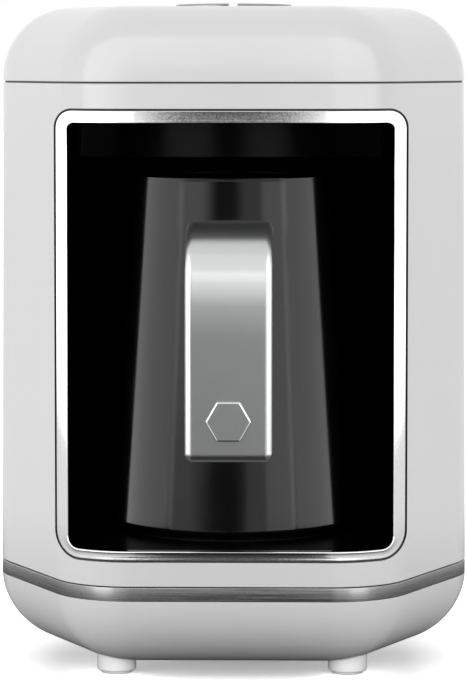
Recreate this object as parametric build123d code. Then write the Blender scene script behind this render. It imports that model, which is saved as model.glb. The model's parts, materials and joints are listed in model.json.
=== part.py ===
from build123d import *
import os
from math import cos, hypot, radians, sin

# Electric Turkish coffee maker: a six-sided housing with rounded corners, an open bay in its front,
# and a lift-out conical pot that stands on a heating plate in the bay.
# Millimetres, +Z up, front towards -Y, standing on Z = 0.
# A name ending in _T is a depth behind the flat front face, measured where the cover meets the body.

# ---- driving dimensions ---------------------------------------------------------------------------
BODY_DEPTH = 140.0
FRONT_CORNER = (48.0, 0.0)
SIDE_CORNER = (79.5, 61.0)
REAR_CORNER = (51.0, BODY_DEPTH)
PLAN_RADIUS = 26.0
FLARE = 1.3
WALL = 2.5

UNDERSIDE_Z = 5.8
TRIM_LOW_Z = 29.2
TRIM_HIGH_Z = 34.2
SEAM_Z = 195.3
TOP_Z = 219.8
EDGE_ROUND = 23.0
SEAM_GAP = 0.3

WINDOW_HALF = 57.1
WINDOW_LOW_Z = 42.3
WINDOW_HIGH_Z = 187.1
WINDOW_RADII = (8.5, 6.4)
JOINT_WIDTH = 0.7
BEZEL_INNER_HALF = 52.4
BEZEL_INNER_LOW_Z = 46.0
BEZEL_INNER_HIGH_Z = 182.7
BEZEL_INNER_RADII = (3.6, 2.4)
BEZEL_DEPTH = 3.0

BAY_HALF = 54.0
BAY_CENTRE_T = 60.0
LINER_WALL = 2.0
FLOOR_TOP_Z = 45.8
FLOOR_THICK = 2.5
CEILING_Z = 171.8
CEILING_THICK = 2.5
LINER_TOP_Z = 186.5

PLATE_TOP_Z = 46.1
PLATE_RADIUS = 36.0
PLATE_THICK = 3.5
ELEMENT_RADIUS = 26.0
ELEMENT_TUBE = 3.2

POT_BASE_Z = 46.2
POT_WIDE_Z = 51.5
POT_RIM_Z = 164.6
POT_WIDE_RADIUS = 40.5
POT_RIM_RADIUS = 34.0
POT_WALL = 1.5
POT_EDGE_ROUND = 4.5

HANDLE_REACH = 28.0
HANDLE_WIDTH = 27.2
HANDLE_TOP_Z = 151.8
HANDLE_ROOT_Z = 148.5
HANDLE_END_Z = 77.9
HANDLE_BEND = 20.0
GRIP_THICK = 3.0
INSERT_THICK = 5.5
STRAP_THICK = 2.0
HEX_FLATS = 12.3
HEX_Z = 90.8
HEX_PROUD = 1.0

BUTTON_RADIUS = 19.4
BUTTON_FLAT = 1.6
BUTTON_T = 66.0
BUTTON_EDGE_Z = 220.3
BUTTON_CROWN_Z = 221.5
BUTTON_TRAVEL = 1.0
BUTTON_GAP = 0.25

FOOT_RADIUS = 6.5
PAD_HEIGHT = 1.0
FRONT_FOOT = (38.3, 35.0)
REAR_FOOT = (34.0, 105.0)

GLAND_BORE = 3.6
GLAND_LENGTH = 14.0
GLAND_Z = 50.0

# ---- inner parts ------------------------------------------------------------------------------------
BRACKET_LOW_Z = 33.5
BRACKET_HIGH_Z = 35.0
BRACKET_SCREWS_T = (16.0, 104.0)
SENSOR_BOARD_Z = 178.5
SENSOR_POSTS_X = (-10.0, 10.0)
LENS_RADIUS = 6.9

CABLE_RADIUS = 1.8
CABLE_ROUTE = [(30.0, 78.0, 17.6), (59.0, 78.0, 17.6), (59.0, 78.0, 195.6), (33.2, 78.0, 195.6)]
CABLE_BEND = 12.0

STEM_X = 10.0
STEM_RADIUS = 2.5
FLANGE_LOW_Z = 214.6
SPRING_WIRE = 0.6
SPRING_RADIUS = 4.6
SPRING_TURNS = 4

POT_DISC_RADIUS = 34.5
HANDLE_FOOTING = 2.0
STRAP_WIDTH = 14.0

# ---- values that follow from them -------------------------------------------------------------------
# The origin lies midway between the hexagonal cap on the handle and the rear of the body.
ORIGIN_T = (BODY_DEPTH + FLARE - HANDLE_REACH - HEX_PROUD) / 2
BAY_Y = BAY_CENTRE_T - ORIGIN_T
BUTTON_Y = BUTTON_T - ORIGIN_T
FAR = 400.0


def at(depth):
    """Y of a depth behind the front face."""
    return depth - ORIGIN_T


def side_normal(start, end):
    """Outward normal of a plan side, walking round the right half from front to rear."""
    across = end[0] - start[0]
    back = end[1] - start[1]
    length = hypot(across, back)
    return (back / length, -across / length)


def moved_corner(corner, before, after, grow):
    """A plan corner after the two sides that meet there have moved outwards by grow."""
    share = grow / (1 + before[0] * after[0] + before[1] * after[1])
    return (corner[0] + share * (before[0] + after[0]), corner[1] + share * (before[1] + after[1]))


def plan(grow, z):
    """The housing's six-sided plan at height z, its sides moved outwards by grow."""
    front = (0.0, -1.0)
    rear = (0.0, 1.0)
    fore = side_normal(FRONT_CORNER, SIDE_CORNER)
    aft = side_normal(SIDE_CORNER, REAR_CORNER)
    half = [
        moved_corner(FRONT_CORNER, front, fore, grow),
        moved_corner(SIDE_CORNER, fore, aft, grow),
        moved_corner(REAR_CORNER, aft, rear, grow),
    ]
    right = [(x, at(t), z) for x, t in half]
    left = [(-x, y, z) for x, y, z in reversed(right)]
    return make_face(FilletPolyline(*right, *left, radius=PLAN_RADIUS + grow, close=True))


def flare_at(z):
    """How far the walls of the body stand out at height z: they widen towards the trim."""
    return FLARE * (SEAM_Z - z) / (SEAM_Z - TRIM_HIGH_Z)


def block(grow, z_low, z_high):
    """Upright prism of the housing's plan."""
    return extrude(plan(grow, z_low), amount=z_high - z_low, dir=(0, 0, 1))


def ring(outer, inner, z_low, z_high):
    """Upright wall between two plans."""
    return block(outer, z_low, z_high) - block(inner, z_low - 1, z_high + 1)


def tapered(grow, z_low, z_high):
    """The body's flared block between two heights, its sides moved outwards by grow."""
    low = plan(grow + flare_at(z_low), z_low)
    high = plan(grow + flare_at(z_high), z_high)
    return loft([low, high], ruled=True)


def skin(outer, inner, z_low, z_high):
    """Layer of the flared wall, between two depths under its surface."""
    return tapered(outer, z_low, z_high) - tapered(inner, z_low - 1, z_high + 1)


def bowl(grow, z_open, z_closed, round_over):
    """The housing's plan run from z_open to z_closed, with the edge at z_closed rounded over."""
    upright = z_closed > z_open
    solid = block(grow, min(z_open, z_closed), max(z_open, z_closed))
    end = solid.faces().sort_by(Axis.Z)[-1 if upright else 0]
    return fillet(end.edges(), round_over)


def window(half, z_low, z_high, radii, y_from, y_to):
    """Prism along Y with an upright rounded rectangle as its section; radii are low and high."""
    corners = [(-half, y_from, z_low), (half, y_from, z_low), (half, y_from, z_high), (-half, y_from, z_high)]
    turns = [radii[0], radii[0], radii[1], radii[1]]
    outline = make_face(FilletPolyline(*corners, radius=turns, close=True))
    return extrude(outline, amount=y_to - y_from, dir=(0, 1, 0))


def front_window(half, z_low, z_high, radii):
    """Such a prism through the front of the housing."""
    return window(half, z_low, z_high, radii, at(-12.0), at(45.0))


def rear_window(half, z_low, z_high, radius):
    """Such a prism through the rear of the housing."""
    return window(half, z_low, z_high, (radius, radius), at(BODY_DEPTH - 12.0), at(BODY_DEPTH + 12.0))


def rod(x, y, z_low, z_high, radius):
    """Upright cylinder."""
    return Pos(x, y, (z_low + z_high) / 2) * Cylinder(radius, z_high - z_low)


def tube(x, y, z_low, z_high, outer, inner):
    """Upright cylinder with a hole right through it."""
    return rod(x, y, z_low, z_high, outer) - rod(x, y, z_low - 1, z_high + 1, inner)


def slab(x_low, x_high, y_low, y_high, z_low, z_high):
    """Box from its limits."""
    middle = Pos((x_low + x_high) / 2, (y_low + y_high) / 2, (z_low + z_high) / 2)
    return middle * Box(x_high - x_low, y_high - y_low, z_high - z_low)


def rod_along_y(x, z, y_low, y_high, radius):
    """Cylinder that lies along Y."""
    return Pos(x, (y_low + y_high) / 2, z) * Rot(90, 0, 0) * Cylinder(radius, y_high - y_low)


def cross_recess(depth, reach, slot):
    """Two crossed slots to cut in a screw's head, centred on the face and depth deep both ways."""
    return Box(2 * reach, slot, 2 * depth) + Box(slot, 2 * reach, 2 * depth)


def screw(head_radius, head_height, shank_radius, length):
    """Pan-head screw that points down, with the top of its head at the origin."""
    head = Pos(0, 0, -head_height / 2) * Cylinder(head_radius, head_height)
    head = fillet(head.edges().group_by(Axis.Z)[-1], head_height * 0.45)
    shank = Pos(0, 0, -head_height - length / 2) * Cylinder(shank_radius, length)
    return head + shank - cross_recess(head_height * 0.5, head_radius * 0.6, 0.8)


def copies(shape, places):
    """Separate copies of one solid at each of the places, as one group."""
    return Compound(children=[place * shape.solid() for place in places])


def mirrored(points):
    """Each (x, t) point and its mirror image."""
    return [(side * x, t) for x, t in points for side in (-1, 1)]


# ---- places of the fasteners ---------------------------------------------------------------------------
POSTS = mirrored([(46.0, 60.0), (20.0, 102.0)])
POST_RADIUS = 4.5
POST_SPLIT_Z = 22.0
BOSS_RADIUS = 5.5
RECESS_TOP_Z = 12.0
PILOT = 1.55
SCREW = 1.5

BOARD_Z = 14.0
BOARD_THICK = 1.6
BOARD_SCREWS = mirrored([(32.0, 39.0), (32.0, 85.0)])

SHELL_SPLIT_T = 62.85
LIP_LOW_Z = 39.0
LIP_HIGH_Z = 187.5
LIP_REACH = 6.0
LIP_THICK = 1.5

LEDGE_LOW_Z = 188.6
LEDGE_HIGH_Z = 191.0
LEDGE_WIDTH = 9.0
COVER_SCREWS = mirrored([(30.0, 5.8), (30.0, 134.2)])

REAR_HALF = 37.0
REAR_LOW_Z = 66.0
REAR_HIGH_Z = 168.0
REAR_CORNER_ROUND = 7.0
REAR_RIM = 8.5
REAR_THICK = 2.3

CARRIER_LOW_Z = 206.4
CARRIER_HIGH_Z = 208.8
CARRIER_SCREWS = mirrored([(30.0, BUTTON_T - 15.0), (30.0, BUTTON_T + 15.0)])
CONTROL_Z = 198.4
CONTROL_SCREWS = mirrored([(19.5, BUTTON_T - 15.0), (19.5, BUTTON_T + 15.0)])


# ---- base ------------------------------------------------------------------------------------------------
def make_base_shell():
    """Rounded tub that closes the housing from below, with a rim that guides the trim and the body."""
    shell = bowl(FLARE, TRIM_LOW_Z, UNDERSIDE_Z, EDGE_ROUND)
    shell -= bowl(FLARE - WALL, TRIM_LOW_Z + 1, UNDERSIDE_Z + WALL, EDGE_ROUND - WALL)
    shell += ring(FLARE - WALL + 0.1, FLARE - WALL - 2.2, POST_SPLIT_Z, TRIM_LOW_Z)
    shell += ring(FLARE - WALL - 0.15, FLARE - WALL - 2.2, TRIM_LOW_Z - 1, TRIM_HIGH_Z + 4.0)
    for x, t in POSTS:
        shell += rod(x, at(t), UNDERSIDE_Z + 1, POST_SPLIT_Z, BOSS_RADIUS)
        shell -= rod(x, at(t), UNDERSIDE_Z - 1, RECESS_TOP_Z, 3.6)
        shell -= rod(x, at(t), RECESS_TOP_Z - 1, POST_SPLIT_Z + 1, PILOT + 0.15)
    for x, t in BOARD_SCREWS:
        shell += rod(x, at(t), UNDERSIDE_Z + 1, BOARD_Z, 3.0)
        shell -= rod(x, at(t), BOARD_Z - 4.5, BOARD_Z + 1, PILOT)
    for x, t in mirrored([FRONT_FOOT, REAR_FOOT]):
        shell -= rod(x, at(t), 0, UNDERSIDE_Z + 8, 3.1)
    for column in range(-2, 3):
        shell -= slab(column * 8 - 1.2, column * 8 + 1.2, at(46), at(80), UNDERSIDE_Z - 1, UNDERSIDE_Z + 4)
    return shell


def make_foot(x, depth):
    """Round foot, cut to the underside's curve, with a stud that snaps through the base shell."""
    y = at(depth)
    outside = bowl(FLARE, TRIM_LOW_Z, UNDERSIDE_Z, EDGE_ROUND)
    body = rod(x, y, PAD_HEIGHT, UNDERSIDE_Z + 6, FOOT_RADIUS)
    low_edge = body.edges().group_by(Axis.Z)[0]
    body = fillet(low_edge, 0.6) - outside
    stud = rod(x, y, UNDERSIDE_Z - 2, UNDERSIDE_Z + 5.5, 3.0)
    return body + stud - rod(x, y, 0, PAD_HEIGHT + 0.9, FOOT_RADIUS - 1.2)


def make_foot_pad(x, depth):
    """Rubber disc let into a foot's underside."""
    pad = rod(x, at(depth), 0, PAD_HEIGHT + 0.9, FOOT_RADIUS - 1.25)
    return fillet(pad.edges().group_by(Axis.Z)[0], 0.4)


def make_base_screws():
    """Four long screws that go up through the base shell into the bay floor's posts."""
    upward = Rot(180, 0, 0) * screw(3.1, 2.4, SCREW, 20.0)
    return copies(upward, [Pos(x, at(t), RECESS_TOP_Z - 2.4) for x, t in POSTS])


def make_trim_band():
    """Steel band between the base shell and the body."""
    return ring(FLARE, FLARE - WALL - 0.05, TRIM_LOW_Z + 0.1, TRIM_HIGH_Z)


# ---- body ------------------------------------------------------------------------------------------------
def body_sleeve():
    """White sleeve with the front window, an inner ledge at the top and an opening at the rear."""
    low = TRIM_HIGH_Z + SEAM_GAP
    high = SEAM_Z - SEAM_GAP
    shell = skin(0, -WALL, low, high)
    shell += ring(-WALL + 0.4, -LEDGE_WIDTH, LEDGE_LOW_Z, LEDGE_HIGH_Z)
    shell -= front_window(WINDOW_HALF, WINDOW_LOW_Z, WINDOW_HIGH_Z, WINDOW_RADII)
    for x, t in COVER_SCREWS:
        shell -= rod(x, at(t), LEDGE_LOW_Z - 1, LEDGE_HIGH_Z + 1, PILOT + 0.15)
    shell += rear_seat()
    shell -= rear_cut(0.0, REAR_LOW_Z, REAR_HIGH_Z)
    for x, z in rear_screw_places():
        shell -= rod_along_y(x, z, at(BODY_DEPTH - 12), at(BODY_DEPTH + 5), PILOT)
    shell += rod_along_y(0, GLAND_Z, at(133.5), at(BODY_DEPTH - 0.5), 10.5)
    shell -= rod_along_y(0, GLAND_Z, gland_face() - 1.6, gland_face() + 5, 8.2)
    shell -= rod_along_y(0, GLAND_Z, at(120), at(BODY_DEPTH + 5), 5.6)
    return shell


def across(depth_low, depth_high):
    """Everything between two depths."""
    return slab(-FAR, FAR, at(depth_low), at(depth_high), -FAR, FAR)


def make_body_front():
    """Front half of the sleeve, which ends where the housing is widest."""
    return body_sleeve() & across(-FAR, SHELL_SPLIT_T - SEAM_GAP / 2)


def make_body_rear():
    """Rear half of the sleeve, with a lip on each side that clips behind the front half."""
    edge = SHELL_SPLIT_T + SEAM_GAP / 2
    lip = skin(-WALL - 0.1, -WALL - LIP_THICK, LIP_LOW_Z, LIP_HIGH_Z) & across(edge - LIP_REACH, edge + 4)
    lip += skin(-WALL + 0.3, -WALL - LIP_THICK, LIP_LOW_Z, LIP_HIGH_Z) & across(edge + 0.2, edge + 4)
    return (body_sleeve() & across(edge, FAR)) + lip


def rear_cut(shrink, z_low, z_high):
    """The outer opening at the rear with the smaller one behind it that leaves a seat for the cover."""
    outer = rear_window(REAR_HALF - shrink, z_low + shrink, z_high - shrink, REAR_CORNER_ROUND)
    outer &= skin(5.0, -WALL, REAR_LOW_Z - 10, REAR_HIGH_Z + 10)
    rim = REAR_RIM
    return outer + rear_window(REAR_HALF - rim, z_low + rim, z_high - rim, 2.0)


def rear_seat():
    """Frame inside the rear wall that the rear cover is screwed to."""
    frame = skin(-WALL + 0.3, -WALL - 2.4, REAR_LOW_Z - 10, REAR_HIGH_Z + 10)
    return frame & rear_window(REAR_HALF + 5, REAR_LOW_Z - 5, REAR_HIGH_Z + 5, REAR_CORNER_ROUND + 2)


def rear_screw_places():
    """X and Z of the rear cover's four screws."""
    inset = REAR_RIM / 2 + 0.3
    heights = (REAR_LOW_Z + inset, REAR_HIGH_Z - inset)
    return [(side * (REAR_HALF - inset), z) for side in (-1, 1) for z in heights]


def make_rear_cover():
    """Flush panel with air slots, held by four screws."""
    panel = skin(0, -REAR_THICK, REAR_LOW_Z - 5, REAR_HIGH_Z + 5)
    panel &= rear_window(REAR_HALF - 0.2, REAR_LOW_Z + 0.2, REAR_HIGH_Z - 0.2, REAR_CORNER_ROUND - 0.2)
    for row in range(9):
        z = 84.0 + row * 7.5
        panel -= rear_window(22.0, z - 1.4, z + 1.4, 1.39)
    for x, z in rear_screw_places():
        panel -= rod_along_y(x, z, at(BODY_DEPTH - 12), at(BODY_DEPTH + 5), PILOT + 0.15)
        panel -= rod_along_y(x, z, rear_face(z) - 1.4, rear_face(z) + 5, 3.1)
    return panel


def rear_face(z):
    """Y of the rear wall's outer face at height z."""
    return at(BODY_DEPTH + flare_at(z))


def gland_face():
    """Y of the cord gland's outer face, flush with the rear wall."""
    return rear_face(GLAND_Z)


def make_rear_screws():
    """Four screws with their heads sunk in the rear cover."""
    outward = Rot(-90, 0, 0) * screw(2.9, 1.3, 1.4, 6.0)
    return copies(outward, [Pos(x, rear_face(z) - 0.05, z) for x, z in rear_screw_places()])


def make_cord_gland():
    """Black bush in the rear wall that the mains cord comes through, with a nut behind the wall."""
    outer_face = gland_face()
    flange = rod_along_y(0, GLAND_Z, outer_face - 1.5, outer_face, 8.0)
    flange = fillet(flange.edges().group_by(Axis.Y)[-1], 0.6)
    neck = rod_along_y(0, GLAND_Z, outer_face - GLAND_LENGTH, outer_face - 1, 5.5)
    nut_plan = RegularPolygon(7.6, 6)
    nut_place = Plane((0, at(133.4), GLAND_Z), x_dir=(1, 0, 0), z_dir=(0, -1, 0))
    nut = extrude(nut_place * nut_plan, amount=4.0)
    bore = rod_along_y(0, GLAND_Z, outer_face - GLAND_LENGTH - 5, outer_face + 5, GLAND_BORE)
    return flange + neck + nut - bore


def make_bezel_frame():
    """Metal frame round the bay's mouth, flush with the body's surface."""
    frame = skin(0, -BEZEL_DEPTH, WINDOW_LOW_Z - 3, WINDOW_HIGH_Z + 3)
    gap = JOINT_WIDTH
    radii = (WINDOW_RADII[0] - gap, WINDOW_RADII[1] - gap)
    frame &= front_window(WINDOW_HALF - gap, WINDOW_LOW_Z + gap, WINDOW_HIGH_Z - gap, radii)
    return frame - front_window(BEZEL_INNER_HALF, BEZEL_INNER_LOW_Z, BEZEL_INNER_HIGH_Z, BEZEL_INNER_RADII)


def make_bezel_gasket():
    """Dark joint between the bezel and the body, set back from both."""
    seat = skin(-0.9, -WALL, WINDOW_LOW_Z - 3, WINDOW_HIGH_Z + 3)
    clear = 0.03
    gap = JOINT_WIDTH - clear
    outer = (WINDOW_RADII[0] - clear, WINDOW_RADII[1] - clear)
    inner = (WINDOW_RADII[0] - gap, WINDOW_RADII[1] - gap)
    seat &= front_window(WINDOW_HALF - clear, WINDOW_LOW_Z + clear, WINDOW_HIGH_Z - clear, outer)
    return seat - front_window(WINDOW_HALF - gap, WINDOW_LOW_Z + gap, WINDOW_HIGH_Z - gap, inner)


# ---- bay -------------------------------------------------------------------------------------------------
def bay_block(half, z_low, z_high):
    """Straight-sided block with a half-round rear, in the shape of the bay."""
    straight = slab(-half, half, at(-5), BAY_Y, z_low, z_high)
    return straight + rod(0, BAY_Y, z_low, z_high, half)


def make_bay_liner():
    """Black wall round the sides and rear of the bay."""
    wall = bay_block(BAY_HALF + LINER_WALL, FLOOR_TOP_Z - 6, LINER_TOP_Z)
    wall -= bay_block(BAY_HALF, 0, FAR)
    return wall & tapered(-BEZEL_DEPTH - 0.2, TRIM_HIGH_Z, SEAM_Z)


def make_bay_floor():
    """Black floor with a hole for the heating plate, on four posts that stand on the base shell."""
    low = FLOOR_TOP_Z - FLOOR_THICK
    floor = bay_block(BAY_HALF - 0.1, low, FLOOR_TOP_Z)
    floor &= tapered(-BEZEL_DEPTH - 0.2, TRIM_HIGH_Z, SEAM_Z)
    floor -= rod(0, BAY_Y, low - 1, FLOOR_TOP_Z + 1, PLATE_RADIUS + 2)
    for x, t in POSTS:
        floor += rod(x, at(t), POST_SPLIT_Z, low + 1, POST_RADIUS)
        floor -= rod(x, at(t), POST_SPLIT_Z - 1, low - 3, PILOT)
    for t in BRACKET_SCREWS_T:
        floor += rod(0, at(t), BRACKET_HIGH_Z, low + 1, 4.0)
        floor -= rod(0, at(t), BRACKET_HIGH_Z - 1, low - 0.5, PILOT)
    return floor


def make_bay_ceiling():
    """Black header behind the top of the bezel, in one piece with the ceiling over the pot."""
    tray = bay_block(BAY_HALF - 0.1, CEILING_Z, LINER_TOP_Z)
    tray &= tapered(-BEZEL_DEPTH - 0.6, TRIM_HIGH_Z, SEAM_Z)
    hollow = bay_block(BAY_HALF - 2.1, CEILING_Z + CEILING_THICK, FAR / 2)
    hollow &= tapered(-BEZEL_DEPTH - 2.6, TRIM_HIGH_Z, SEAM_Z)
    tray -= hollow
    tray -= rod(0, BAY_Y, CEILING_Z - 1, CEILING_Z + CEILING_THICK + 1, LENS_RADIUS + 0.1)
    for x in SENSOR_POSTS_X:
        tray += rod(x, BAY_Y, CEILING_Z + 1, SENSOR_BOARD_Z, 2.4)
        tray -= rod(x, BAY_Y, CEILING_Z + CEILING_THICK, SENSOR_BOARD_Z + 1, 1.0)
    return tray


def make_sensor_lens():
    """Dark window in the ceiling that the overflow sensor looks through."""
    lens = rod(0, BAY_Y, CEILING_Z - 0.3, CEILING_Z + CEILING_THICK, LENS_RADIUS)
    lens = fillet(lens.edges().group_by(Axis.Z)[0], 0.5)
    flange = rod(0, BAY_Y, CEILING_Z + CEILING_THICK, CEILING_Z + CEILING_THICK + 1, LENS_RADIUS + 0.6)
    return lens + flange


def make_sensor_board():
    """Small board with the sensor's sender and receiver, over the lens."""
    board = slab(-14, 14, BAY_Y - 9, BAY_Y + 9, SENSOR_BOARD_Z, SENSOR_BOARD_Z + BOARD_THICK)
    for x in (-3.0, 3.0):
        board += rod(x, BAY_Y, SENSOR_BOARD_Z - 2.0, SENSOR_BOARD_Z + 0.5, 1.6)
    return board


def make_heating_plate():
    """Flat metal disc that the pot stands on, with a hole for the temperature sensor."""
    plate = tube(0, BAY_Y, PLATE_TOP_Z - PLATE_THICK, PLATE_TOP_Z, PLATE_RADIUS, 5.0)
    return fillet(plate.edges().group_by(Axis.Z)[-1], 0.5)


def make_plate_seal():
    """Silicone ring between the heating plate and the bay floor."""
    return tube(0, BAY_Y, FLOOR_TOP_Z - FLOOR_THICK, FLOOR_TOP_Z + 0.1, PLATE_RADIUS + 1.95, PLATE_RADIUS + 0.05)


def make_heater_element():
    """Sheathed heating tube in an open ring under the plate, its two ends turned down."""
    centre_z = PLATE_TOP_Z - PLATE_THICK - ELEMENT_TUBE - 0.05
    opening = 70.0
    section = Plane.XZ * Pos(ELEMENT_RADIUS, 0) * Circle(ELEMENT_TUBE)
    element = revolve(section, axis=Axis.Z, revolution_arc=360 - opening)
    element = Pos(0, BAY_Y, centre_z) * Rot(0, 0, 90 + opening / 2) * element
    for side in (-1, 1):
        angle = radians(90 + side * opening / 2)
        x = ELEMENT_RADIUS * cos(angle)
        y = BAY_Y + ELEMENT_RADIUS * sin(angle)
        element += rod(x, y, centre_z - 8.0, centre_z, 1.6)
    return element


def make_temperature_sensor():
    """Capped sensor that stands in the middle of the plate, on the heater bracket."""
    cap = rod(0, BAY_Y, 38.0, PLATE_TOP_Z, 4.8)
    cap = fillet(cap.edges().group_by(Axis.Z)[-1], 0.5)
    return cap + rod(0, BAY_Y, BRACKET_HIGH_Z, 38.5, 3.0)


def make_heater_bracket():
    """Steel strip that holds the plate and its element up from below."""
    return slab(-7, 7, at(10), at(110), BRACKET_LOW_Z, BRACKET_HIGH_Z) - heater_screw_holes()


def heater_screw_holes():
    """The two holes in the heater bracket."""
    front, rear = (rod(0, at(t), BRACKET_LOW_Z - 1, BRACKET_HIGH_Z + 1, PILOT + 0.15) for t in BRACKET_SCREWS_T)
    return front + rear


def make_heater_screws():
    """Two screws that hold the heater bracket to the bay floor."""
    upward = Rot(180, 0, 0) * screw(3.0, 1.8, SCREW, 8.0)
    return copies(upward, [Pos(0, at(t), BRACKET_LOW_Z - 1.8) for t in BRACKET_SCREWS_T])


def make_thermal_fuse():
    """Safety fuse that lies across the heater bracket."""
    body = Pos(0, at(45), BRACKET_HIGH_Z + 2.25) * Rot(0, 90, 0) * Cylinder(2.2, 15)
    leads = Pos(0, at(45), BRACKET_HIGH_Z + 2.25) * Rot(0, 90, 0) * Cylinder(0.5, 25)
    return body + leads


# ---- electronics -----------------------------------------------------------------------------------------
def make_power_board():
    """Mains board in the base."""
    board = slab(-37, 37, at(34), at(90), BOARD_Z, BOARD_Z + BOARD_THICK)
    for x, t in BOARD_SCREWS:
        board -= rod(x, at(t), BOARD_Z - 1, BOARD_Z + BOARD_THICK + 1, PILOT + 0.15)
    return board


def on_power_board(x, depth, width, length, height):
    """A box-shaped component that stands on the power board."""
    low = BOARD_Z + BOARD_THICK
    part = slab(x - width / 2, x + width / 2, at(depth) - length / 2, at(depth) + length / 2, low, low + height)
    return chamfer(part.edges().group_by(Axis.Z)[-1], 0.6)


def make_terminal_block():
    """Row of three screw terminals for the mains wires."""
    block_body = on_power_board(0, 84, 30, 9, 11)
    for x in (-9, 0, 9):
        block_body -= rod(x, at(84), BOARD_Z + BOARD_THICK + 6, BOARD_Z + 20, 2.6)
    return block_body


def make_board_screws():
    """Screws of the power board."""
    down = screw(2.8, 1.6, 1.4, 5.0)
    return copies(down, [Pos(x, at(t), BOARD_Z + BOARD_THICK + 1.6) for x, t in BOARD_SCREWS])


def make_control_board():
    """Board under the buttons, with the cable's socket on its underside."""
    board = slab(-34, 34, at(BUTTON_T - 20), at(BUTTON_T + 20), CONTROL_Z, CONTROL_Z + BOARD_THICK)
    board += slab(24, 33, at(74), at(82), CONTROL_Z - 5, CONTROL_Z + 0.5)
    for x, t in CONTROL_SCREWS:
        board -= rod(x, at(t), CONTROL_Z - 1, CONTROL_Z + BOARD_THICK + 1, 1.4)
    return board


def make_button_switches():
    """Two small push switches on the control board, one under each button's stem."""
    low = CONTROL_Z + BOARD_THICK
    case = Pos(0, 0, low + 1.2) * Box(6, 6, 2.4)
    knob = Pos(0, 0, low + 2.8) * Cylinder(1.7, 1.0)
    return copies(case + knob, [Pos(side * STEM_X, BUTTON_Y, 0) for side in (-1, 1)])


def make_buzzer():
    """Round sounder on the underside of the control board."""
    return tube(-22, at(BUTTON_T), CONTROL_Z - 7, CONTROL_Z, 5.8, 1.0)


def make_control_screws():
    """Screws that hold the control board to the button carrier."""
    upward = Rot(180, 0, 0) * screw(2.4, 1.5, 1.1, 4.5)
    return copies(upward, [Pos(x, at(t), CONTROL_Z - 1.5) for x, t in CONTROL_SCREWS])


def make_control_cable():
    """Cable from the power board up beside the bay to the control board."""
    points = [(x, at(t), z) for x, t, z in CABLE_ROUTE]
    route = FilletPolyline(*points, radius=CABLE_BEND)
    section = Plane(route @ 0, z_dir=route % 0) * Circle(CABLE_RADIUS)
    return sweep(section, path=route)


# ---- top cover and buttons -------------------------------------------------------------------------------
def half_disc(side, radius, flat, z_low, z_high):
    """Upright D-shaped prism on one side of the split between the buttons."""
    disc = rod(0, BUTTON_Y, z_low, z_high, radius)
    keep = slab(flat, FAR, -FAR, FAR, z_low - 1, z_high + 1)
    if side < 0:
        keep = slab(-FAR, -flat, -FAR, FAR, z_low - 1, z_high + 1)
    return disc & keep


def soft_half_disc(side, radius, flat, z_low, z_high):
    """Such a prism with its two upright corners rounded."""
    solid = half_disc(side, radius, flat, z_low, z_high)
    corners = solid.edges().filter_by(Axis.Z).sort_by(lambda edge: abs(edge.center().X))[:2]
    return fillet(corners, 0.8)


def make_top_cover():
    """Domed cover with two D-shaped holes, and bosses for its own screws and the button carrier's."""
    cover = bowl(0, SEAM_Z + SEAM_GAP, TOP_Z, EDGE_ROUND)
    cover -= bowl(-WALL, SEAM_Z - 1, TOP_Z - WALL, EDGE_ROUND - WALL)
    cover += ring(-WALL + 0.2, -WALL - 2.1, SEAM_Z + SEAM_GAP, SEAM_Z + 5)
    cover += ring(-WALL - 0.15, -WALL - 2.1, LEDGE_HIGH_Z + 0.8, SEAM_Z + 1)
    outside = bowl(0, SEAM_Z - 10, TOP_Z, EDGE_ROUND)
    for x, t in COVER_SCREWS:
        cover += rod(x, at(t), LEDGE_HIGH_Z, SEAM_Z + 14, 3.1) & outside
        cover -= rod(x, at(t), LEDGE_HIGH_Z - 1, SEAM_Z + 4, PILOT)
    for x, t in CARRIER_SCREWS:
        cover += rod(x, at(t), CARRIER_HIGH_Z, TOP_Z - WALL + 1, 3.2)
        cover -= rod(x, at(t), CARRIER_HIGH_Z - 1, TOP_Z - WALL - 1, PILOT)
    for side in (-1, 1):
        hole = soft_half_disc(side, BUTTON_RADIUS + BUTTON_GAP, BUTTON_FLAT - BUTTON_GAP, TOP_Z - 5, TOP_Z + 5)
        cover -= hole
    return cover


def make_cover_screws():
    """Four screws that hold the top cover down from inside the body."""
    upward = Rot(180, 0, 0) * screw(2.8, 1.8, SCREW, 8.0)
    return copies(upward, [Pos(x, at(t), LEDGE_LOW_Z - 1.8) for x, t in COVER_SCREWS])


def make_button_carrier():
    """Plate under the top cover that guides the stems and carries the control board."""
    plate = slab(-36, 36, at(BUTTON_T - 20), at(BUTTON_T + 20), CARRIER_LOW_Z, CARRIER_HIGH_Z)
    for x, t in CONTROL_SCREWS:
        plate += rod(x, at(t), CONTROL_Z + BOARD_THICK, CARRIER_LOW_Z + 1, 2.6)
        plate -= rod(x, at(t), CONTROL_Z + BOARD_THICK - 1, CARRIER_LOW_Z, 1.15)
    for x, t in CARRIER_SCREWS:
        plate -= rod(x, at(t), CARRIER_LOW_Z - 1, CARRIER_HIGH_Z + 1, PILOT + 0.15)
    for side in (-1, 1):
        plate -= rod(side * STEM_X, BUTTON_Y, CARRIER_LOW_Z - 1, CARRIER_HIGH_Z + 1, STEM_RADIUS + 0.3)
    return plate


def make_carrier_screws():
    """Four screws that hold the button carrier to the top cover."""
    upward = Rot(180, 0, 0) * screw(2.8, 1.8, SCREW, 7.0)
    return copies(upward, [Pos(x, at(t), CARRIER_LOW_Z - 1.8) for x, t in CARRIER_SCREWS])


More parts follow.
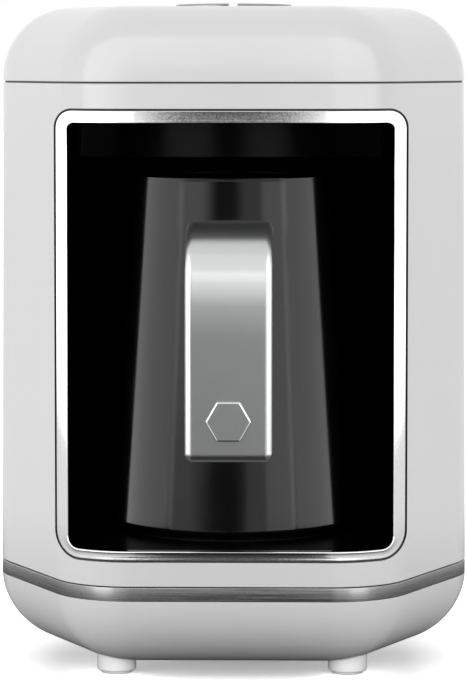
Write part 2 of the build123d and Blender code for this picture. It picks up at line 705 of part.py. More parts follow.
def make_button_cap(side):
    """Thin metal half-disc with a crowned top; the two together make one shallow dome."""
    low = TOP_Z - WALL
    cap = soft_half_disc(side, BUTTON_RADIUS, BUTTON_FLAT, low, BUTTON_CROWN_Z + 1)
    rise = BUTTON_CROWN_Z - BUTTON_EDGE_Z
    dome_radius = (BUTTON_RADIUS ** 2 + rise ** 2) / (2 * rise)
    dome = Pos(0, BUTTON_Y, BUTTON_CROWN_Z - dome_radius) * Sphere(dome_radius)
    cap &= dome
    hollow = soft_half_disc(side, BUTTON_RADIUS - 1.0, BUTTON_FLAT + 1.0, low - 1, BUTTON_EDGE_Z - 1.0)
    return cap - hollow


def make_plunger(side):
    """White plastic body inside a button cap, with a retaining flange and a stem down to the switch."""
    low = TOP_Z - WALL
    head = soft_half_disc(side, BUTTON_RADIUS - 1.1, BUTTON_FLAT + 1.1, low - 1, BUTTON_EDGE_Z - 1.05)
    flange = soft_half_disc(side, BUTTON_RADIUS + 1.2, 0.5, FLANGE_LOW_Z, low - 0.1)
    switch_top = CONTROL_Z + BOARD_THICK + 3.3
    stem = rod(side * STEM_X, BUTTON_Y, switch_top + BUTTON_TRAVEL + 0.1, FLANGE_LOW_Z + 1, STEM_RADIUS)
    return head + flange + stem


def make_button_spring(side):
    """Small coil spring round a stem, between the carrier and the plunger's flange."""
    height = FLANGE_LOW_Z - CARRIER_HIGH_Z - 2 * SPRING_WIRE - 0.1
    coil = Helix(pitch=height / SPRING_TURNS, height=height, radius=SPRING_RADIUS)
    section = Plane(coil @ 0, z_dir=coil % 0) * Circle(SPRING_WIRE)
    wire = sweep(section, path=coil, is_frenet=True)
    return Pos(side * STEM_X, BUTTON_Y, CARRIER_HIGH_Z + SPRING_WIRE + 0.05) * wire


# ---- pot -------------------------------------------------------------------------------------------------
def pot_radius(z):
    """Outer radius of the pot's cone at height z."""
    share = (z - POT_WIDE_Z) / (POT_RIM_Z - POT_WIDE_Z)
    return POT_WIDE_RADIUS + share * (POT_RIM_RADIUS - POT_WIDE_RADIUS)


def pot_cone(grow, z_low, z_high):
    """The pot's cone as a solid, made wider all round by grow."""
    low, high = pot_radius(z_low) + grow, pot_radius(z_high) + grow
    return Pos(0, BAY_Y, (z_low + z_high) / 2) * Cone(low, high, z_high - z_low)


def make_pot_body():
    """Thin conical pot with a rounded lower edge, a beaded rim and a recess for the base disc."""
    edge_z = POT_BASE_Z + 0.5
    body = pot_cone(0, edge_z, POT_RIM_Z)
    body = fillet(body.edges().group_by(Axis.Z)[0], POT_EDGE_ROUND)
    inside = pot_cone(-POT_WALL, edge_z + 4.2, POT_RIM_Z + 1)
    inside = fillet(inside.edges().group_by(Axis.Z)[0], 3.5)
    body -= inside
    body -= rod(0, BAY_Y, 0, POT_BASE_Z + 2.8, POT_DISC_RADIUS + 0.05)
    bead = Pos(0, BAY_Y, POT_RIM_Z - 0.9) * Torus(POT_RIM_RADIUS - 0.6, 0.9)
    return body + bead


def make_pot_base():
    """Metal disc under the pot that meets the heating plate."""
    disc = rod(0, BAY_Y, POT_BASE_Z, POT_BASE_Z + 2.75, POT_DISC_RADIUS)
    return fillet(disc.edges().group_by(Axis.Z)[0], 0.5)


def handle_route(inset):
    """The handle's line from its free end up and back to the pot, inset from its outer surface."""
    face = at(-HANDLE_REACH)
    root = BAY_Y - 30.0
    fall = (HANDLE_TOP_Z - HANDLE_ROOT_Z) / (root - face)
    drop = inset * hypot(1, fall)
    crest_z = HANDLE_TOP_Z - inset * fall - drop
    points = [(0, face + inset, HANDLE_END_Z), (0, face + inset, crest_z), (0, root, HANDLE_ROOT_Z - drop)]
    return FilletPolyline(*points, radius=HANDLE_BEND - inset)


def handle_layer(inset, thickness, width, round_over):
    """Strip swept along the handle, from inset under its outer surface; the outer edges rounded."""
    route = handle_route(inset)
    start = Plane(route @ 0, x_dir=(1, 0, 0), z_dir=route % 0)
    corners = [(-width / 2, 0), (width / 2, 0), (width / 2, thickness), (-width / 2, thickness)]
    outline = FilletPolyline(*corners, radius=[round_over, round_over, 0.3, 0.3], close=True)
    return sweep(start * make_face(outline), path=route)


def hex_screw_hole(radius, depth):
    """Hole from the handle's face back towards the pot at the screw's height."""
    face = at(-HANDLE_REACH)
    return rod_along_y(0, HEX_Z, face - 1, face + depth, radius)


def make_handle_grip():
    """Broad satin metal cover of the handle, flat across with rounded long edges."""
    grip = handle_layer(0, GRIP_THICK, HANDLE_WIDTH, 1.8)
    grip -= pot_cone(HANDLE_FOOTING + 0.15, POT_WIDE_Z, POT_RIM_Z)
    grip &= window(HANDLE_WIDTH / 2, HANDLE_END_Z, FAR, (1.8, 0), at(-FAR), at(FAR))
    return grip - hex_screw_hole(4.5, GRIP_THICK + 1)


def strap_layer(spare):
    """The strap's volume inside the handle, made wider and thicker by spare."""
    return handle_layer(GRIP_THICK - spare / 2 + 0.05, STRAP_THICK + spare, STRAP_WIDTH + spare, 0.3)


def make_handle_insert():
    """Black plastic inner side of the handle, with a channel for the strap."""
    insert = handle_layer(GRIP_THICK + 0.05, INSERT_THICK, HANDLE_WIDTH - 2.4, 0.3)
    insert -= pot_cone(HANDLE_FOOTING + 0.15, POT_WIDE_Z, POT_RIM_Z)
    insert -= strap_layer(0.2)
    insert -= slab(-FAR, FAR, -FAR, FAR, 0, HANDLE_END_Z + 1.2)
    return insert - hex_screw_hole(1.8, GRIP_THICK + INSERT_THICK - 1)


def make_handle_bracket():
    """Steel foot welded to the pot, with a strap that runs inside the handle to the screw."""
    foot = pot_cone(HANDLE_FOOTING, 126.0, HANDLE_ROOT_Z) - pot_cone(0.02, POT_WIDE_Z, POT_RIM_Z)
    foot &= slab(-13, 13, -FAR, BAY_Y - 5, 126.0, HANDLE_ROOT_Z - 0.5)
    strap = strap_layer(0) - pot_cone(0.5, POT_WIDE_Z, POT_RIM_Z)
    strap -= slab(-FAR, FAR, -FAR, FAR, 0, HANDLE_END_Z + 4.0)
    return foot + strap - hex_screw_hole(1.8, GRIP_THICK + STRAP_THICK + 1)


def make_handle_screw():
    """Screw under the hexagonal cap that clamps grip, strap and insert together."""
    inward = Rot(90, 0, 0) * screw(4.0, 2.2, 1.6, 4.4)
    return Pos(0, at(-HANDLE_REACH) + 0.7, HEX_Z) * inward


def make_handle_cap():
    """Hexagonal cap that covers the handle's screw, its flats at top and bottom."""
    place = Plane((0, at(-HANDLE_REACH), HEX_Z), x_dir=(1, 0, 0), z_dir=(0, -1, 0))
    plan_of_cap = RegularPolygon(HEX_FLATS / 2, 6, major_radius=False)
    cap = extrude(place * plan_of_cap, amount=HEX_PROUD)
    return chamfer(cap.edges().group_by(Axis.Y)[0], 0.6)


# ---- the whole object ------------------------------------------------------------------------------------
def make_nodes():
    """Every sub-part by its node's name."""
    component = {
        "base_shell": make_base_shell(),
        "base_screws": make_base_screws(),
        "trim_band": make_trim_band(),
        "body_front_shell": make_body_front(),
        "body_rear_shell": make_body_rear(),
        "rear_cover": make_rear_cover(),
        "rear_cover_screws": make_rear_screws(),
        "cord_gland": make_cord_gland(),
        "bezel_frame": make_bezel_frame(),
        "bezel_gasket": make_bezel_gasket(),
        "bay_liner": make_bay_liner(),
        "bay_floor": make_bay_floor(),
        "bay_ceiling": make_bay_ceiling(),
        "sensor_lens": make_sensor_lens(),
        "sensor_board": make_sensor_board(),
        "heating_plate": make_heating_plate(),
        "plate_seal": make_plate_seal(),
        "heater_element": make_heater_element(),
        "temperature_sensor": make_temperature_sensor(),
        "heater_bracket": make_heater_bracket(),
        "heater_screws": make_heater_screws(),
        "thermal_fuse": make_thermal_fuse(),
        "power_board": make_power_board(),
        "relay": on_power_board(-20, 52, 19, 15.5, 15),
        "capacitor": on_power_board(12, 48, 18, 8, 13),
        "terminal_block": make_terminal_block(),
        "power_board_screws": make_board_screws(),
        "control_board": make_control_board(),
        "button_switches": make_button_switches(),
        "buzzer": make_buzzer(),
        "control_board_screws": make_control_screws(),
        "control_cable": make_control_cable(),
        "top_cover": make_top_cover(),
        "top_cover_screws": make_cover_screws(),
        "button_carrier": make_button_carrier(),
        "button_carrier_screws": make_carrier_screws(),
        "pot_body": make_pot_body(),
        "pot_base_disc": make_pot_base(),
        "handle_grip": make_handle_grip(),
        "handle_insert": make_handle_insert(),
        "handle_bracket": make_handle_bracket(),
        "handle_screw": make_handle_screw(),
        "handle_cap": make_handle_cap(),
    }
    for word, (x, depth) in (("front", FRONT_FOOT), ("rear", REAR_FOOT)):
        for hand, side in (("left", -1), ("right", 1)):
            component[f"foot_{word}_{hand}"] = make_foot(side * x, depth)
            component[f"foot_pad_{word}_{hand}"] = make_foot_pad(side * x, depth)
    for hand, side in (("left", -1), ("right", 1)):
        component[f"button_cap_{hand}"] = make_button_cap(side)
        component[f"button_plunger_{hand}"] = make_plunger(side)
        component[f"button_spring_{hand}"] = make_button_spring(side)
    return component


os.makedirs("parts", exist_ok=True)
nodes = make_nodes()
for name, solid in nodes.items():
    export_step(solid, f"parts/{name}.step")
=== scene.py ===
"""Finished look of an electric Turkish coffee maker: white housing, steel trim, dark bay, conical pot."""
import json
import math

import bmesh
import bpy
from bpy.props import FloatProperty, FloatVectorProperty, IntProperty, PointerProperty
from mathutils import Matrix, Vector


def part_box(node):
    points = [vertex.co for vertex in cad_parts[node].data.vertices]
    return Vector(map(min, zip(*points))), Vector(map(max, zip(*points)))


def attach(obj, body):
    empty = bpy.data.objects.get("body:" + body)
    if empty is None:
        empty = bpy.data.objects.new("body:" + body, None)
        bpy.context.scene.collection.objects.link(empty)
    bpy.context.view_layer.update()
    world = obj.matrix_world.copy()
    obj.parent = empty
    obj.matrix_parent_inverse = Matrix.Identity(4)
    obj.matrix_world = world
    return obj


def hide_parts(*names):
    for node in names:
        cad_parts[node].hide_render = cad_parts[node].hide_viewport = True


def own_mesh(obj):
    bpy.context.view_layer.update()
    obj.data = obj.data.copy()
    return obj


bl_info = {
    "name": "Coffee maker",
    "version": (1, 0, 0),
    "blender": (4, 5, 0),
    "location": "3D View > Sidebar > Coffee Maker",
    "description": "Shells, pot, buttons and finishes of an electric Turkish coffee maker",
    "category": "Object",
}

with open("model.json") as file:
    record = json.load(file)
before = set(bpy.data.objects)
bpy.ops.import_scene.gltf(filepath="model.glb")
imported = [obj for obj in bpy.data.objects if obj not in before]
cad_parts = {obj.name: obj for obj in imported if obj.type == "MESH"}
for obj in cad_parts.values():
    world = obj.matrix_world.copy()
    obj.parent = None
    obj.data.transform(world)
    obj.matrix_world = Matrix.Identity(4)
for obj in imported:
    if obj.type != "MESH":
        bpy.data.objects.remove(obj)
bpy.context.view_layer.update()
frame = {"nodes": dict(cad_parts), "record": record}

# Sizes are in millimetres until a piece is finished. A name ending in _T is a depth behind the front face.
MM = 0.001
SIDES = (("left", -1), ("right", 1))
ORIGIN_T = 56.15
PLAN_CORNERS = ((48.0, 0.0), (79.5, 61.0), (51.0, 140.0))
PLAN_RADIUS = 26.0
FRONT_ARC_X = 32.157
FLARE = 1.3
FLARE_LOW_Z = 34.2
FLARE_HIGH_Z = 195.3
WALL = 2.5
UNDERSIDE_Z = 6.7
TRIM_LOW_Z = 29.2
TRIM_HIGH_Z = 34.2
BODY_HIGH_Z = 195.0
COVER_LOW_Z = 195.6
TOP_Z = 219.8
EDGE_ROUND = 23.0

WINDOW_HALF = 57.1
WINDOW_LOW_Z = 42.3
WINDOW_HIGH_Z = 187.1
WINDOW_RADII = (8.5, 6.4)
JOINT = 0.7
MOUTH_HALF = 52.4
MOUTH_LOW_Z = 46.0
MOUTH_HIGH_Z = 182.7
MOUTH_RADII = (3.6, 2.4)

BAY_Y = 3.85
BAY_HALF = 54.0
LINER_LOW_Z = 39.8
LINER_TOP_Z = 186.5
PLATE_TOP_Z = 46.1
POT_RIM_Z = 164.6
HANDLE_FACE_T = -28.0
BUTTON_Y = 9.85
GLAND_Z = 50.0
SPLIT_T = 62.85
REAR_HALF = 37.0
REAR_LOW_Z = 66.0
REAR_HIGH_Z = 168.0


# ---- outlines, walls and turned shapes ----
def at(depth):
    """Y of a depth behind the front face."""
    return depth - ORIGIN_T


def vertices(geometry):
    """The vertices in what an operator gives back."""
    return [g for g in geometry if isinstance(g, bmesh.types.BMVert)]


def outline(bm, points, radii, place, steps=16):
    """Closed loop of edges through flat points, each corner turned with its radius, then put in place."""
    first = last = None
    made = []
    for i, point in enumerate(points):
        here = Vector((*point, 0.0))
        before = (Vector((*points[i - 1], 0.0)) - here).normalized()
        after = (Vector((*points[(i + 1) % len(points)], 0.0)) - here).normalized()
        turn = math.pi - before.angle(after)
        radius = radii[i]
        start = bm.verts.new(here + before * (radius * math.tan(turn / 2)))
        made.append(start)
        if last:
            bm.edges.new((last, start))
        else:
            first = start
        last = start
        if radius > 0:
            centre = here + (before + after).normalized() * (radius / math.cos(turn / 2))
            side = 1 if before.cross(after).z < 0 else -1
            known = set(bm.verts)
            arc = bmesh.ops.spin(bm, geom=[start], cent=centre, axis=(0, 0, side), angle=turn, steps=steps)
            made += [v for v in bm.verts if v not in known]
            last = vertices(arc["geom_last"])[0]
    bm.edges.new((last, first))
    bmesh.ops.transform(bm, matrix=place, verts=made)
    return made


def loop_edges(verts):
    """The edges that join the given vertices to each other."""
    known = set(verts)
    edges = {e for v in verts for e in v.link_edges}
    return [e for e in edges if e.verts[0] in known and e.verts[1] in known]


def bridge(bm, loops, closed=False):
    """Faces between each loop and the next."""
    edges = [loop_edges(loop) for loop in loops]
    pairs = list(zip(edges, edges[1:]))
    if closed:
        pairs.append((edges[-1], edges[0]))
    for low, high in pairs:
        bmesh.ops.bridge_loops(bm, edges=low + high)


def fill(bm, loop):
    """One flat face inside a loop."""
    bmesh.ops.edgeloop_fill(bm, edges=loop_edges(loop))


def set_along(loops, axis, values):
    """Puts all vertices of each loop at the loop's own value on an axis."""
    for loop, value in zip(loops, values):
        for v in loop:
            v.co[axis] = value


def cut_off(bm, point, way):
    """Cuts off what lies beyond a plane through the point, towards way, and closes the cut."""
    bmesh.ops.bisect_plane(bm, geom=bm.verts[:] + bm.edges[:] + bm.faces[:], plane_co=point, plane_no=way,
                           clear_outer=True)
    bmesh.ops.holes_fill(bm, edges=bm.edges)


def flare_at(z):
    """How far the walls of the body stand out at height z."""
    return FLARE * (FLARE_HIGH_Z - z) / (FLARE_HIGH_Z - FLARE_LOW_Z)


def plan_points(grow):
    """Corners of the six-sided plan with its sides moved outwards by grow."""
    normals = [Vector((0.0, -1.0))]
    for start, end in zip(PLAN_CORNERS, PLAN_CORNERS[1:]):
        run = Vector(end) - Vector(start)
        normals.append(Vector((run.y, -run.x)).normalized())
    normals.append(Vector((0.0, 1.0)))
    right = []
    for corner, before, after in zip(PLAN_CORNERS, normals, normals[1:]):
        moved = Vector(corner) + (before + after) * (grow / (1 + before.dot(after)))
        right.append((moved.x, at(moved.y)))
    return right + [(-x, y) for x, y in reversed(right)]


def surface_y(x, z, grow=0.0):
    """Y of the body's front surface at x and z, moved outwards by grow."""
    side = Vector(PLAN_CORNERS[1]) - Vector(PLAN_CORNERS[0])
    normal = Vector((side.y, -side.x)).normalized()
    outset = grow + flare_at(z)
    bend = PLAN_RADIUS + outset
    away = abs(x)
    if away <= FRONT_ARC_X:
        return at(-outset)
    if away < FRONT_ARC_X + bend * normal.x:
        return at(PLAN_RADIUS - math.sqrt(bend ** 2 - (away - FRONT_ARC_X) ** 2))
    end = Vector((FRONT_ARC_X, PLAN_RADIUS)) + normal * bend
    return at(end.y + (away - end.x) * side.y / side.x)


def housing(levels, closed=False, steps=16):
    """Shell of the housing's plan run through (grow, z) levels; capped at both ends, or closed on itself."""
    bm = bmesh.new()
    loops = [outline(bm, plan_points(grow), [PLAN_RADIUS + grow] * 6, Matrix.Translation((0, 0, i)), steps)
             for i, (grow, _) in enumerate(levels)]
    bridge(bm, loops, closed)
    if not closed:
        fill(bm, loops[0])
        fill(bm, loops[-1])
    set_along(loops, 2, [z for _, z in levels])
    return bm


def rounded_levels(grow, z_open, z_flat, radius, steps, eased=0.0):
    """Levels of a shell from z_open to z_flat that rounds over there, flatter than a circle if eased."""
    way = 1 if z_flat > z_open else -1
    levels = [(grow, z_open)]
    for i in range(steps + 1):
        turn = math.pi / 2 * i / steps
        across, along = (abs(f(turn)) ** (1 + eased) for f in (math.cos, math.sin))
        levels.append((grow - radius * (1 - across), z_flat - way * radius * (1 - along)))
    return levels


def upright(y):
    """Turns a flat outline upright, facing the front, at depth y."""
    return Matrix.Translation((0, y, 0)) @ Matrix.Rotation(math.pi / 2, 4, "X")


def window_block(half, low, high, radii, y_from, y_to):
    """Block along Y; its section is an upright rectangle with lower and upper corner radii."""
    bm = bmesh.new()
    corners = [(-half, low), (half, low), (half, high), (-half, high)]
    turns = [radii[0], radii[0], radii[1], radii[1]]
    loops = [outline(bm, corners, turns, upright(y)) for y in (y_from, y_to)]
    bridge(bm, loops)
    fill(bm, loops[0])
    fill(bm, loops[1])
    return bm


def turned(section, radii, steps, centre=(0.0, 0.0, 0.0), lying=False):
    """Ring or solid made by spinning a closed (radius, height) section about its upright axis."""
    bm = bmesh.new()
    made = outline(bm, section, radii, Matrix.Rotation(math.pi / 2, 4, "X"), steps=8)
    on_axis = [e for e in loop_edges(made) if all(abs(v.co.x) < 1e-6 for v in e.verts)]
    bmesh.ops.delete(bm, geom=on_axis, context="EDGES_FACES")
    bmesh.ops.spin(bm, geom=bm.edges[:] + bm.verts[:], cent=(0, 0, 0), axis=(0, 0, 1), angle=math.tau,
                   steps=steps, use_merge=True)
    bmesh.ops.remove_doubles(bm, verts=bm.verts, dist=1e-4)
    if lying:
        bmesh.ops.rotate(bm, verts=bm.verts, cent=(0, 0, 0), matrix=Matrix.Rotation(-math.pi / 2, 3, "X"))
    bmesh.ops.translate(bm, verts=bm.verts, vec=centre)
    return bm


def rod(radius, low, high, steps, centre, lying=False):
    """Plain cylinder between two heights over its centre."""
    return turned([(0, low), (radius, low), (radius, high), (0, high)], [0] * 4, steps, centre, lying)


def merged(whole, *others):
    """Several separate bmeshes in one."""
    for other in others:
        spare = bpy.data.meshes.new("spare")
        other.to_mesh(spare)
        other.free()
        whole.from_mesh(spare)
        bpy.data.meshes.remove(spare)
    return whole


def cut(bm, *tools):
    """The mesh with the tool meshes taken away from it."""
    objects = []
    for name, source in (("work", bm), ("tool", merged(*tools))):
        bmesh.ops.recalc_face_normals(source, faces=source.faces)
        mesh = bpy.data.meshes.new(name)
        source.to_mesh(mesh)
        source.free()
        ob = bpy.data.objects.new(name, mesh)
        bpy.context.scene.collection.objects.link(ob)
        objects.append(ob)
    work, cutter = objects
    modifier = work.modifiers.new("Cut", "BOOLEAN")
    modifier.operation = "DIFFERENCE"
    modifier.solver = "EXACT"
    modifier.object = cutter
    bpy.context.view_layer.update()
    done = bpy.data.meshes.new_from_object(work.evaluated_get(bpy.context.evaluated_depsgraph_get()))
    result = bmesh.new()
    result.from_mesh(done)
    for ob in objects:
        mesh = ob.data
        bpy.data.objects.remove(ob)
        bpy.data.meshes.remove(mesh)
    bpy.data.meshes.remove(done)
    return result


def finished(name, bm, finish, body, node=None, sharp=32.0, bevel=0.0, weighted=True):
    """Makes a piece's object at the origin, smooth but for its sharp edges, and hands it to its CAD body."""
    bmesh.ops.remove_doubles(bm, verts=bm.verts, dist=1e-4)
    bmesh.ops.recalc_face_normals(bm, faces=bm.faces)
    bmesh.ops.scale(bm, vec=(MM, MM, MM), verts=bm.verts)
    mesh = bpy.data.meshes.new(name)
    bm.to_mesh(mesh)
    bm.free()
    mesh.shade_smooth()
    mesh.set_sharp_from_angle(angle=math.radians(sharp))
    mesh.materials.append(finish_named(finish))
    piece = bpy.data.objects.new(name, mesh)
    bpy.context.scene.collection.objects.link(piece)
    if bevel:
        edge = piece.modifiers.new("Edge", "BEVEL")
        edge.width = bevel * MM
        edge.segments = 3
        edge.limit_method = "ANGLE"
        edge.angle_limit = math.radians(sharp)
    if weighted:
        normals = piece.modifiers.new("Normals", "WEIGHTED_NORMAL")
        normals.keep_sharp = True
        normals.weight = 100
    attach(piece, body)
    if node:
        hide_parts(node)
    return piece


# ---- node trees and finishes ----
class Graph:
    """Node tree, with short calls for the nodes that the finishes and the stage share."""

    def __init__(self, tree):
        self.nodes = tree.nodes
        self.links = tree.links

    def feed(self, node, inputs):
        """Gives inputs of a node, by name or number, each a value or another node's output."""
        for key, value in inputs.items():
            if isinstance(value, bpy.types.NodeSocket):
                self.links.new(value, node.inputs[key])
            else:
                node.inputs[key].default_value = value
        return node

    def add(self, kind, inputs, **options):
        """New shader node with its options and inputs."""
        node = self.nodes.new(f"ShaderNode{kind}")
        for name, value in options.items():
            setattr(node, name, value)
        return self.feed(node, inputs)

    def ranged(self, value, low, high, start=0.0, end=1.0, smooth=True):
        """The value taken from low-high to start-end, smoothly or straight."""
        inputs = {"Value": value, "From Min": low, "From Max": high, "To Min": start, "To Max": end}
        kind = "SMOOTHSTEP" if smooth else "LINEAR"
        return self.add("MapRange", inputs, interpolation_type=kind).outputs["Result"]

    def math(self, operation, *values):
        """Result of a Math node on the values."""
        return self.add("Math", dict(enumerate(values)), operation=operation).outputs[0]

    def length(self, vector):
        """Length of a vector."""
        return self.add("VectorMath", {0: vector}, operation="LENGTH").outputs["Value"]

    def mixed(self, factor, low, high, kind="FLOAT"):
        """Value or colour between two others."""
        return self.add("Mix", {"Factor": factor, "A": low, "B": high}, data_type=kind).outputs["Result"]

    def grey(self, value):
        """Colour with the value in all three channels."""
        return self.add("CombineColor", {"Red": value, "Green": value, "Blue": value}).outputs["Color"]

    def mixed_shaders(self, factor, first, second):
        """Output of a Mix Shader node on the main outputs of two nodes."""
        return self.add("MixShader", {0: factor, 1: first.outputs[0], 2: second.outputs[0]}).outputs[0]


class Finish(Graph):
    """Material whose patterns run on Object coordinates: scales are per metre, depths in metres."""

    def __init__(self, name, colour, metallic, roughness, specular=0.5):
        self.material = bpy.data.materials.new(f"{name}_finish")
        self.material.use_nodes = True
        super().__init__(self.material.node_tree)
        self.colour = colour
        self.shader = self.nodes["Principled BSDF"]
        self.feed(self.shader, {"Base Color": (*colour, 1.0), "Metallic": metallic, "Roughness": roughness,
                                "Specular IOR Level": specular})
        self.where = self.add("TexCoord", {}).outputs["Object"]

    def noise(self, scale, detail=3.0, vector=None):
        """Noise on Object coordinates, or on another vector."""
        inputs = {"Vector": vector or self.where, "Scale": scale, "Detail": detail}
        return self.add("TexNoise", inputs).outputs["Fac"]

    def gloss(self, factor, low, high):
        """Roughness that follows a noise, whose values lie mostly between 0.3 and 0.7, from low to high."""
        self.feed(self.shader, {"Roughness": self.ranged(factor, 0.3, 0.7, low, high, smooth=False)})

    def tint(self, factor, share):
        """Base colour that drifts by a share of itself."""
        dark, light = ([min(1.0, c * (1 + change)) for c in self.colour] for change in (-share, share))
        self.feed(self.shader, {"Base Color": self.mixed(factor, (*dark, 1.0), (*light, 1.0), "RGBA")})

    def relief(self, height, strength, distance):
        """Bump from a height."""
        bump = self.add("Bump", {"Strength": strength, "Distance": distance, "Height": height})
        self.feed(self.shader, {"Normal": bump.outputs["Normal"]})


def moulded_plastic(name, colour, roughness, texture=0.0, specular=0.5, gloss=0.02):
    """Moulded plastic: slow drift of colour and gloss, with a fine texture where it is matt."""
    finish = Finish(name, colour, 0.0, roughness, specular)
    slow = finish.noise(28.0)
    finish.tint(slow, 0.012)
    finish.gloss(slow, roughness - gloss, roughness + gloss)
    if texture:
        finish.relief(finish.noise(2600.0, 2.0), texture, 0.0001)
    else:
        finish.relief(finish.noise(700.0, 2.0), 0.01, 0.00003)
    return finish.material


def brushed_metal(name, colour, roughness, stretch, strength=0.08):
    """Metal brushed one way: streaks in gloss, height and tone."""
    finish = Finish(name, colour, 1.0, roughness)
    mapping = finish.add("Mapping", {"Vector": finish.where, "Scale": stretch})
    streaks = finish.noise(1.0, 4.0, mapping.outputs["Vector"])
    finish.tint(streaks, 0.05)
    finish.gloss(streaks, roughness * 0.8, roughness * 1.25)
    finish.relief(streaks, strength, 0.00005)
    return finish.material


def blasted_metal(name, colour, roughness):
    """Metal with a fine even blasted grain."""
    finish = Finish(name, colour, 1.0, roughness)
    grain = finish.noise(3800.0, 2.0)
    finish.tint(finish.noise(120.0), 0.02)
    finish.gloss(grain, roughness - 0.02, roughness + 0.02)
    finish.relief(grain, 0.018, 0.00003)
    return finish.material


def turned_metal(name, colour, roughness, axis_y, strength=0.1):
    """Metal turned on a lathe: fine rings about an upright axis in the middle plane, at axis_y."""
    finish = Finish(name, colour, 1.0, roughness)
    place = {"Vector": finish.where, "Location": (0.0, -axis_y * MM, 0.0), "Scale": (1.0, 1.0, 0.0)}
    radius = finish.length(finish.add("Mapping", place).outputs["Vector"])
    pattern = {"W": radius, "Scale": 2200.0, "Detail": 3.0}
    rings = finish.add("TexNoise", pattern, noise_dimensions="1D").outputs["Fac"]
    finish.tint(rings, 0.06)
    finish.gloss(rings, roughness * 0.75, roughness * 1.25)
    finish.relief(rings, strength, 0.00006)
    return finish.material


def enamel(name, colour, roughness):
    """Glossy enamel with a slight drift of gloss and a soft ripple."""
    finish = Finish(name, colour, 0.0, roughness)
    ripple = finish.noise(60.0, 1.0)
    finish.gloss(ripple, roughness - 0.015, roughness + 0.015)
    finish.tint(ripple, 0.1)
    finish.relief(finish.noise(900.0, 2.0), 0.01, 0.00002)
    return finish.material


# Plain moulded parts: colour, roughness and strength of the matt texture.
MOULDED = {
    "black_plastic": ((0.020, 0.020, 0.020), 0.45, 0.10),
    "black_rubber": ((0.014, 0.014, 0.014), 0.62, 0.12),
    "joint_rubber": ((0.075, 0.075, 0.075), 0.60, 0.12),
    "grey_rubber": ((0.55, 0.55, 0.55), 0.60, 0.12),
    "green_board": ((0.03, 0.16, 0.07), 0.38, 0.0),
    "blue_plastic": ((0.03, 0.10, 0.30), 0.40, 0.0),
    "green_plastic": ((0.05, 0.30, 0.12), 0.42, 0.0),
    "grey_cable": ((0.25, 0.25, 0.25), 0.48, 0.0),
}

FINISHES = {}


def new_finish(name):
    """Makes the finish with that name."""
    if name in MOULDED:
        return moulded_plastic(name, *MOULDED[name])
    house, pot = settings().housing, settings().pot
    bay_black, header_black, fine = (0.0015,) * 3, (0.0005,) * 3, (1500.0,) * 3
    makers = {
        "white_gloss": lambda: moulded_plastic(name, tuple(house.white), house.gloss, gloss=0.01),
        "white_satin": lambda: moulded_plastic(name, tuple(house.white), 0.35, texture=0.04),
        "black_gloss": lambda: moulded_plastic(name, bay_black, 0.30, specular=0.03),
        "header_gloss": lambda: moulded_plastic(name, header_black, 0.06, specular=0.01, gloss=0.01),
        "bezel_steel": lambda: brushed_metal(name, tuple(house.steel), 0.10, fine, 0.008),
        "trim_steel": lambda: brushed_metal(name, tuple(house.trim), 0.24, (40.0, 40.0, 3500.0)),
        "sheath_steel": lambda: brushed_metal(name, (0.50, 0.50, 0.50), 0.30, (300.0, 300.0, 1200.0)),
        "button_steel": lambda: turned_metal(name, (0.34, 0.34, 0.34), 0.20, BUTTON_Y),
        "plate_aluminium": lambda: turned_metal(name, (0.60, 0.60, 0.60), 0.32, BAY_Y, 0.25),
        "satin_aluminium": lambda: blasted_metal(name, tuple(pot.handle), 0.31),
        "screw_steel": lambda: blasted_metal(name, (0.55, 0.55, 0.56), 0.28),
        "pot_enamel": lambda: enamel(name, tuple(pot.enamel), 0.14),
        "sensor_window": lambda: enamel(name, (0.03, 0.005, 0.008), 0.08),
    }
    return makers[name]()


def finish_named(name):
    """The finish with that name, made the first time that it is asked for."""
    if name not in FINISHES:
        FINISHES[name] = new_finish(name)
    return FINISHES[name]


# ---- settings ----
def colour_setting(label, about, default):
    """Colour that the sidebar shows."""
    return FloatVectorProperty(name=label, description=about, subtype="COLOR", size=3, min=0.0, max=1.0,
                               default=default)


def length_setting(label, about, low, high, default):
    """Length in metres that the sidebar shows."""
    return FloatProperty(name=label, description=about, unit="LENGTH", min=low, max=high, default=default)


def light_setting(label, about, default):
    """Brightness that the sidebar shows."""
    return FloatProperty(name=label, description=about, min=0.0, max=8.0, default=default)


class HousingSettings(bpy.types.PropertyGroup):
    """Housing colours and gloss."""
    white: colour_setting("White", "Colour of the moulded white shells", (0.72, 0.72, 0.72))
    gloss: FloatProperty(name="Roughness", description="Roughness of the moulded white shells",
                         subtype="FACTOR", min=0.02, max=1.0, default=0.16)
    steel: colour_setting("Bezel", "Colour of the bezel's steel", (0.86, 0.86, 0.855))
    trim: colour_setting("Trim", "Colour of the trim band's steel", (0.48, 0.48, 0.48))
    bezel_edge: length_setting("Bezel edge", "Rounding of the bezel's inner edge", 0.0001, 0.002, 0.0006)


class PotSettings(bpy.types.PropertyGroup):
    """Pot and handle."""
    enamel: colour_setting("Enamel", "Colour of the pot", (0.003, 0.003, 0.003))
    base_radius: length_setting("Base radius", "Outer radius of the pot near its base", 0.03, 0.045, 0.0405)
    rim_radius: length_setting("Rim radius", "Outer radius of the pot at its rim", 0.025, 0.045, 0.034)
    steps: IntProperty(name="Facets", description="Steps round the pot", min=32, max=256, default=128)
    handle: colour_setting("Handle", "Colour of the handle's metal", (0.61, 0.625, 0.62))


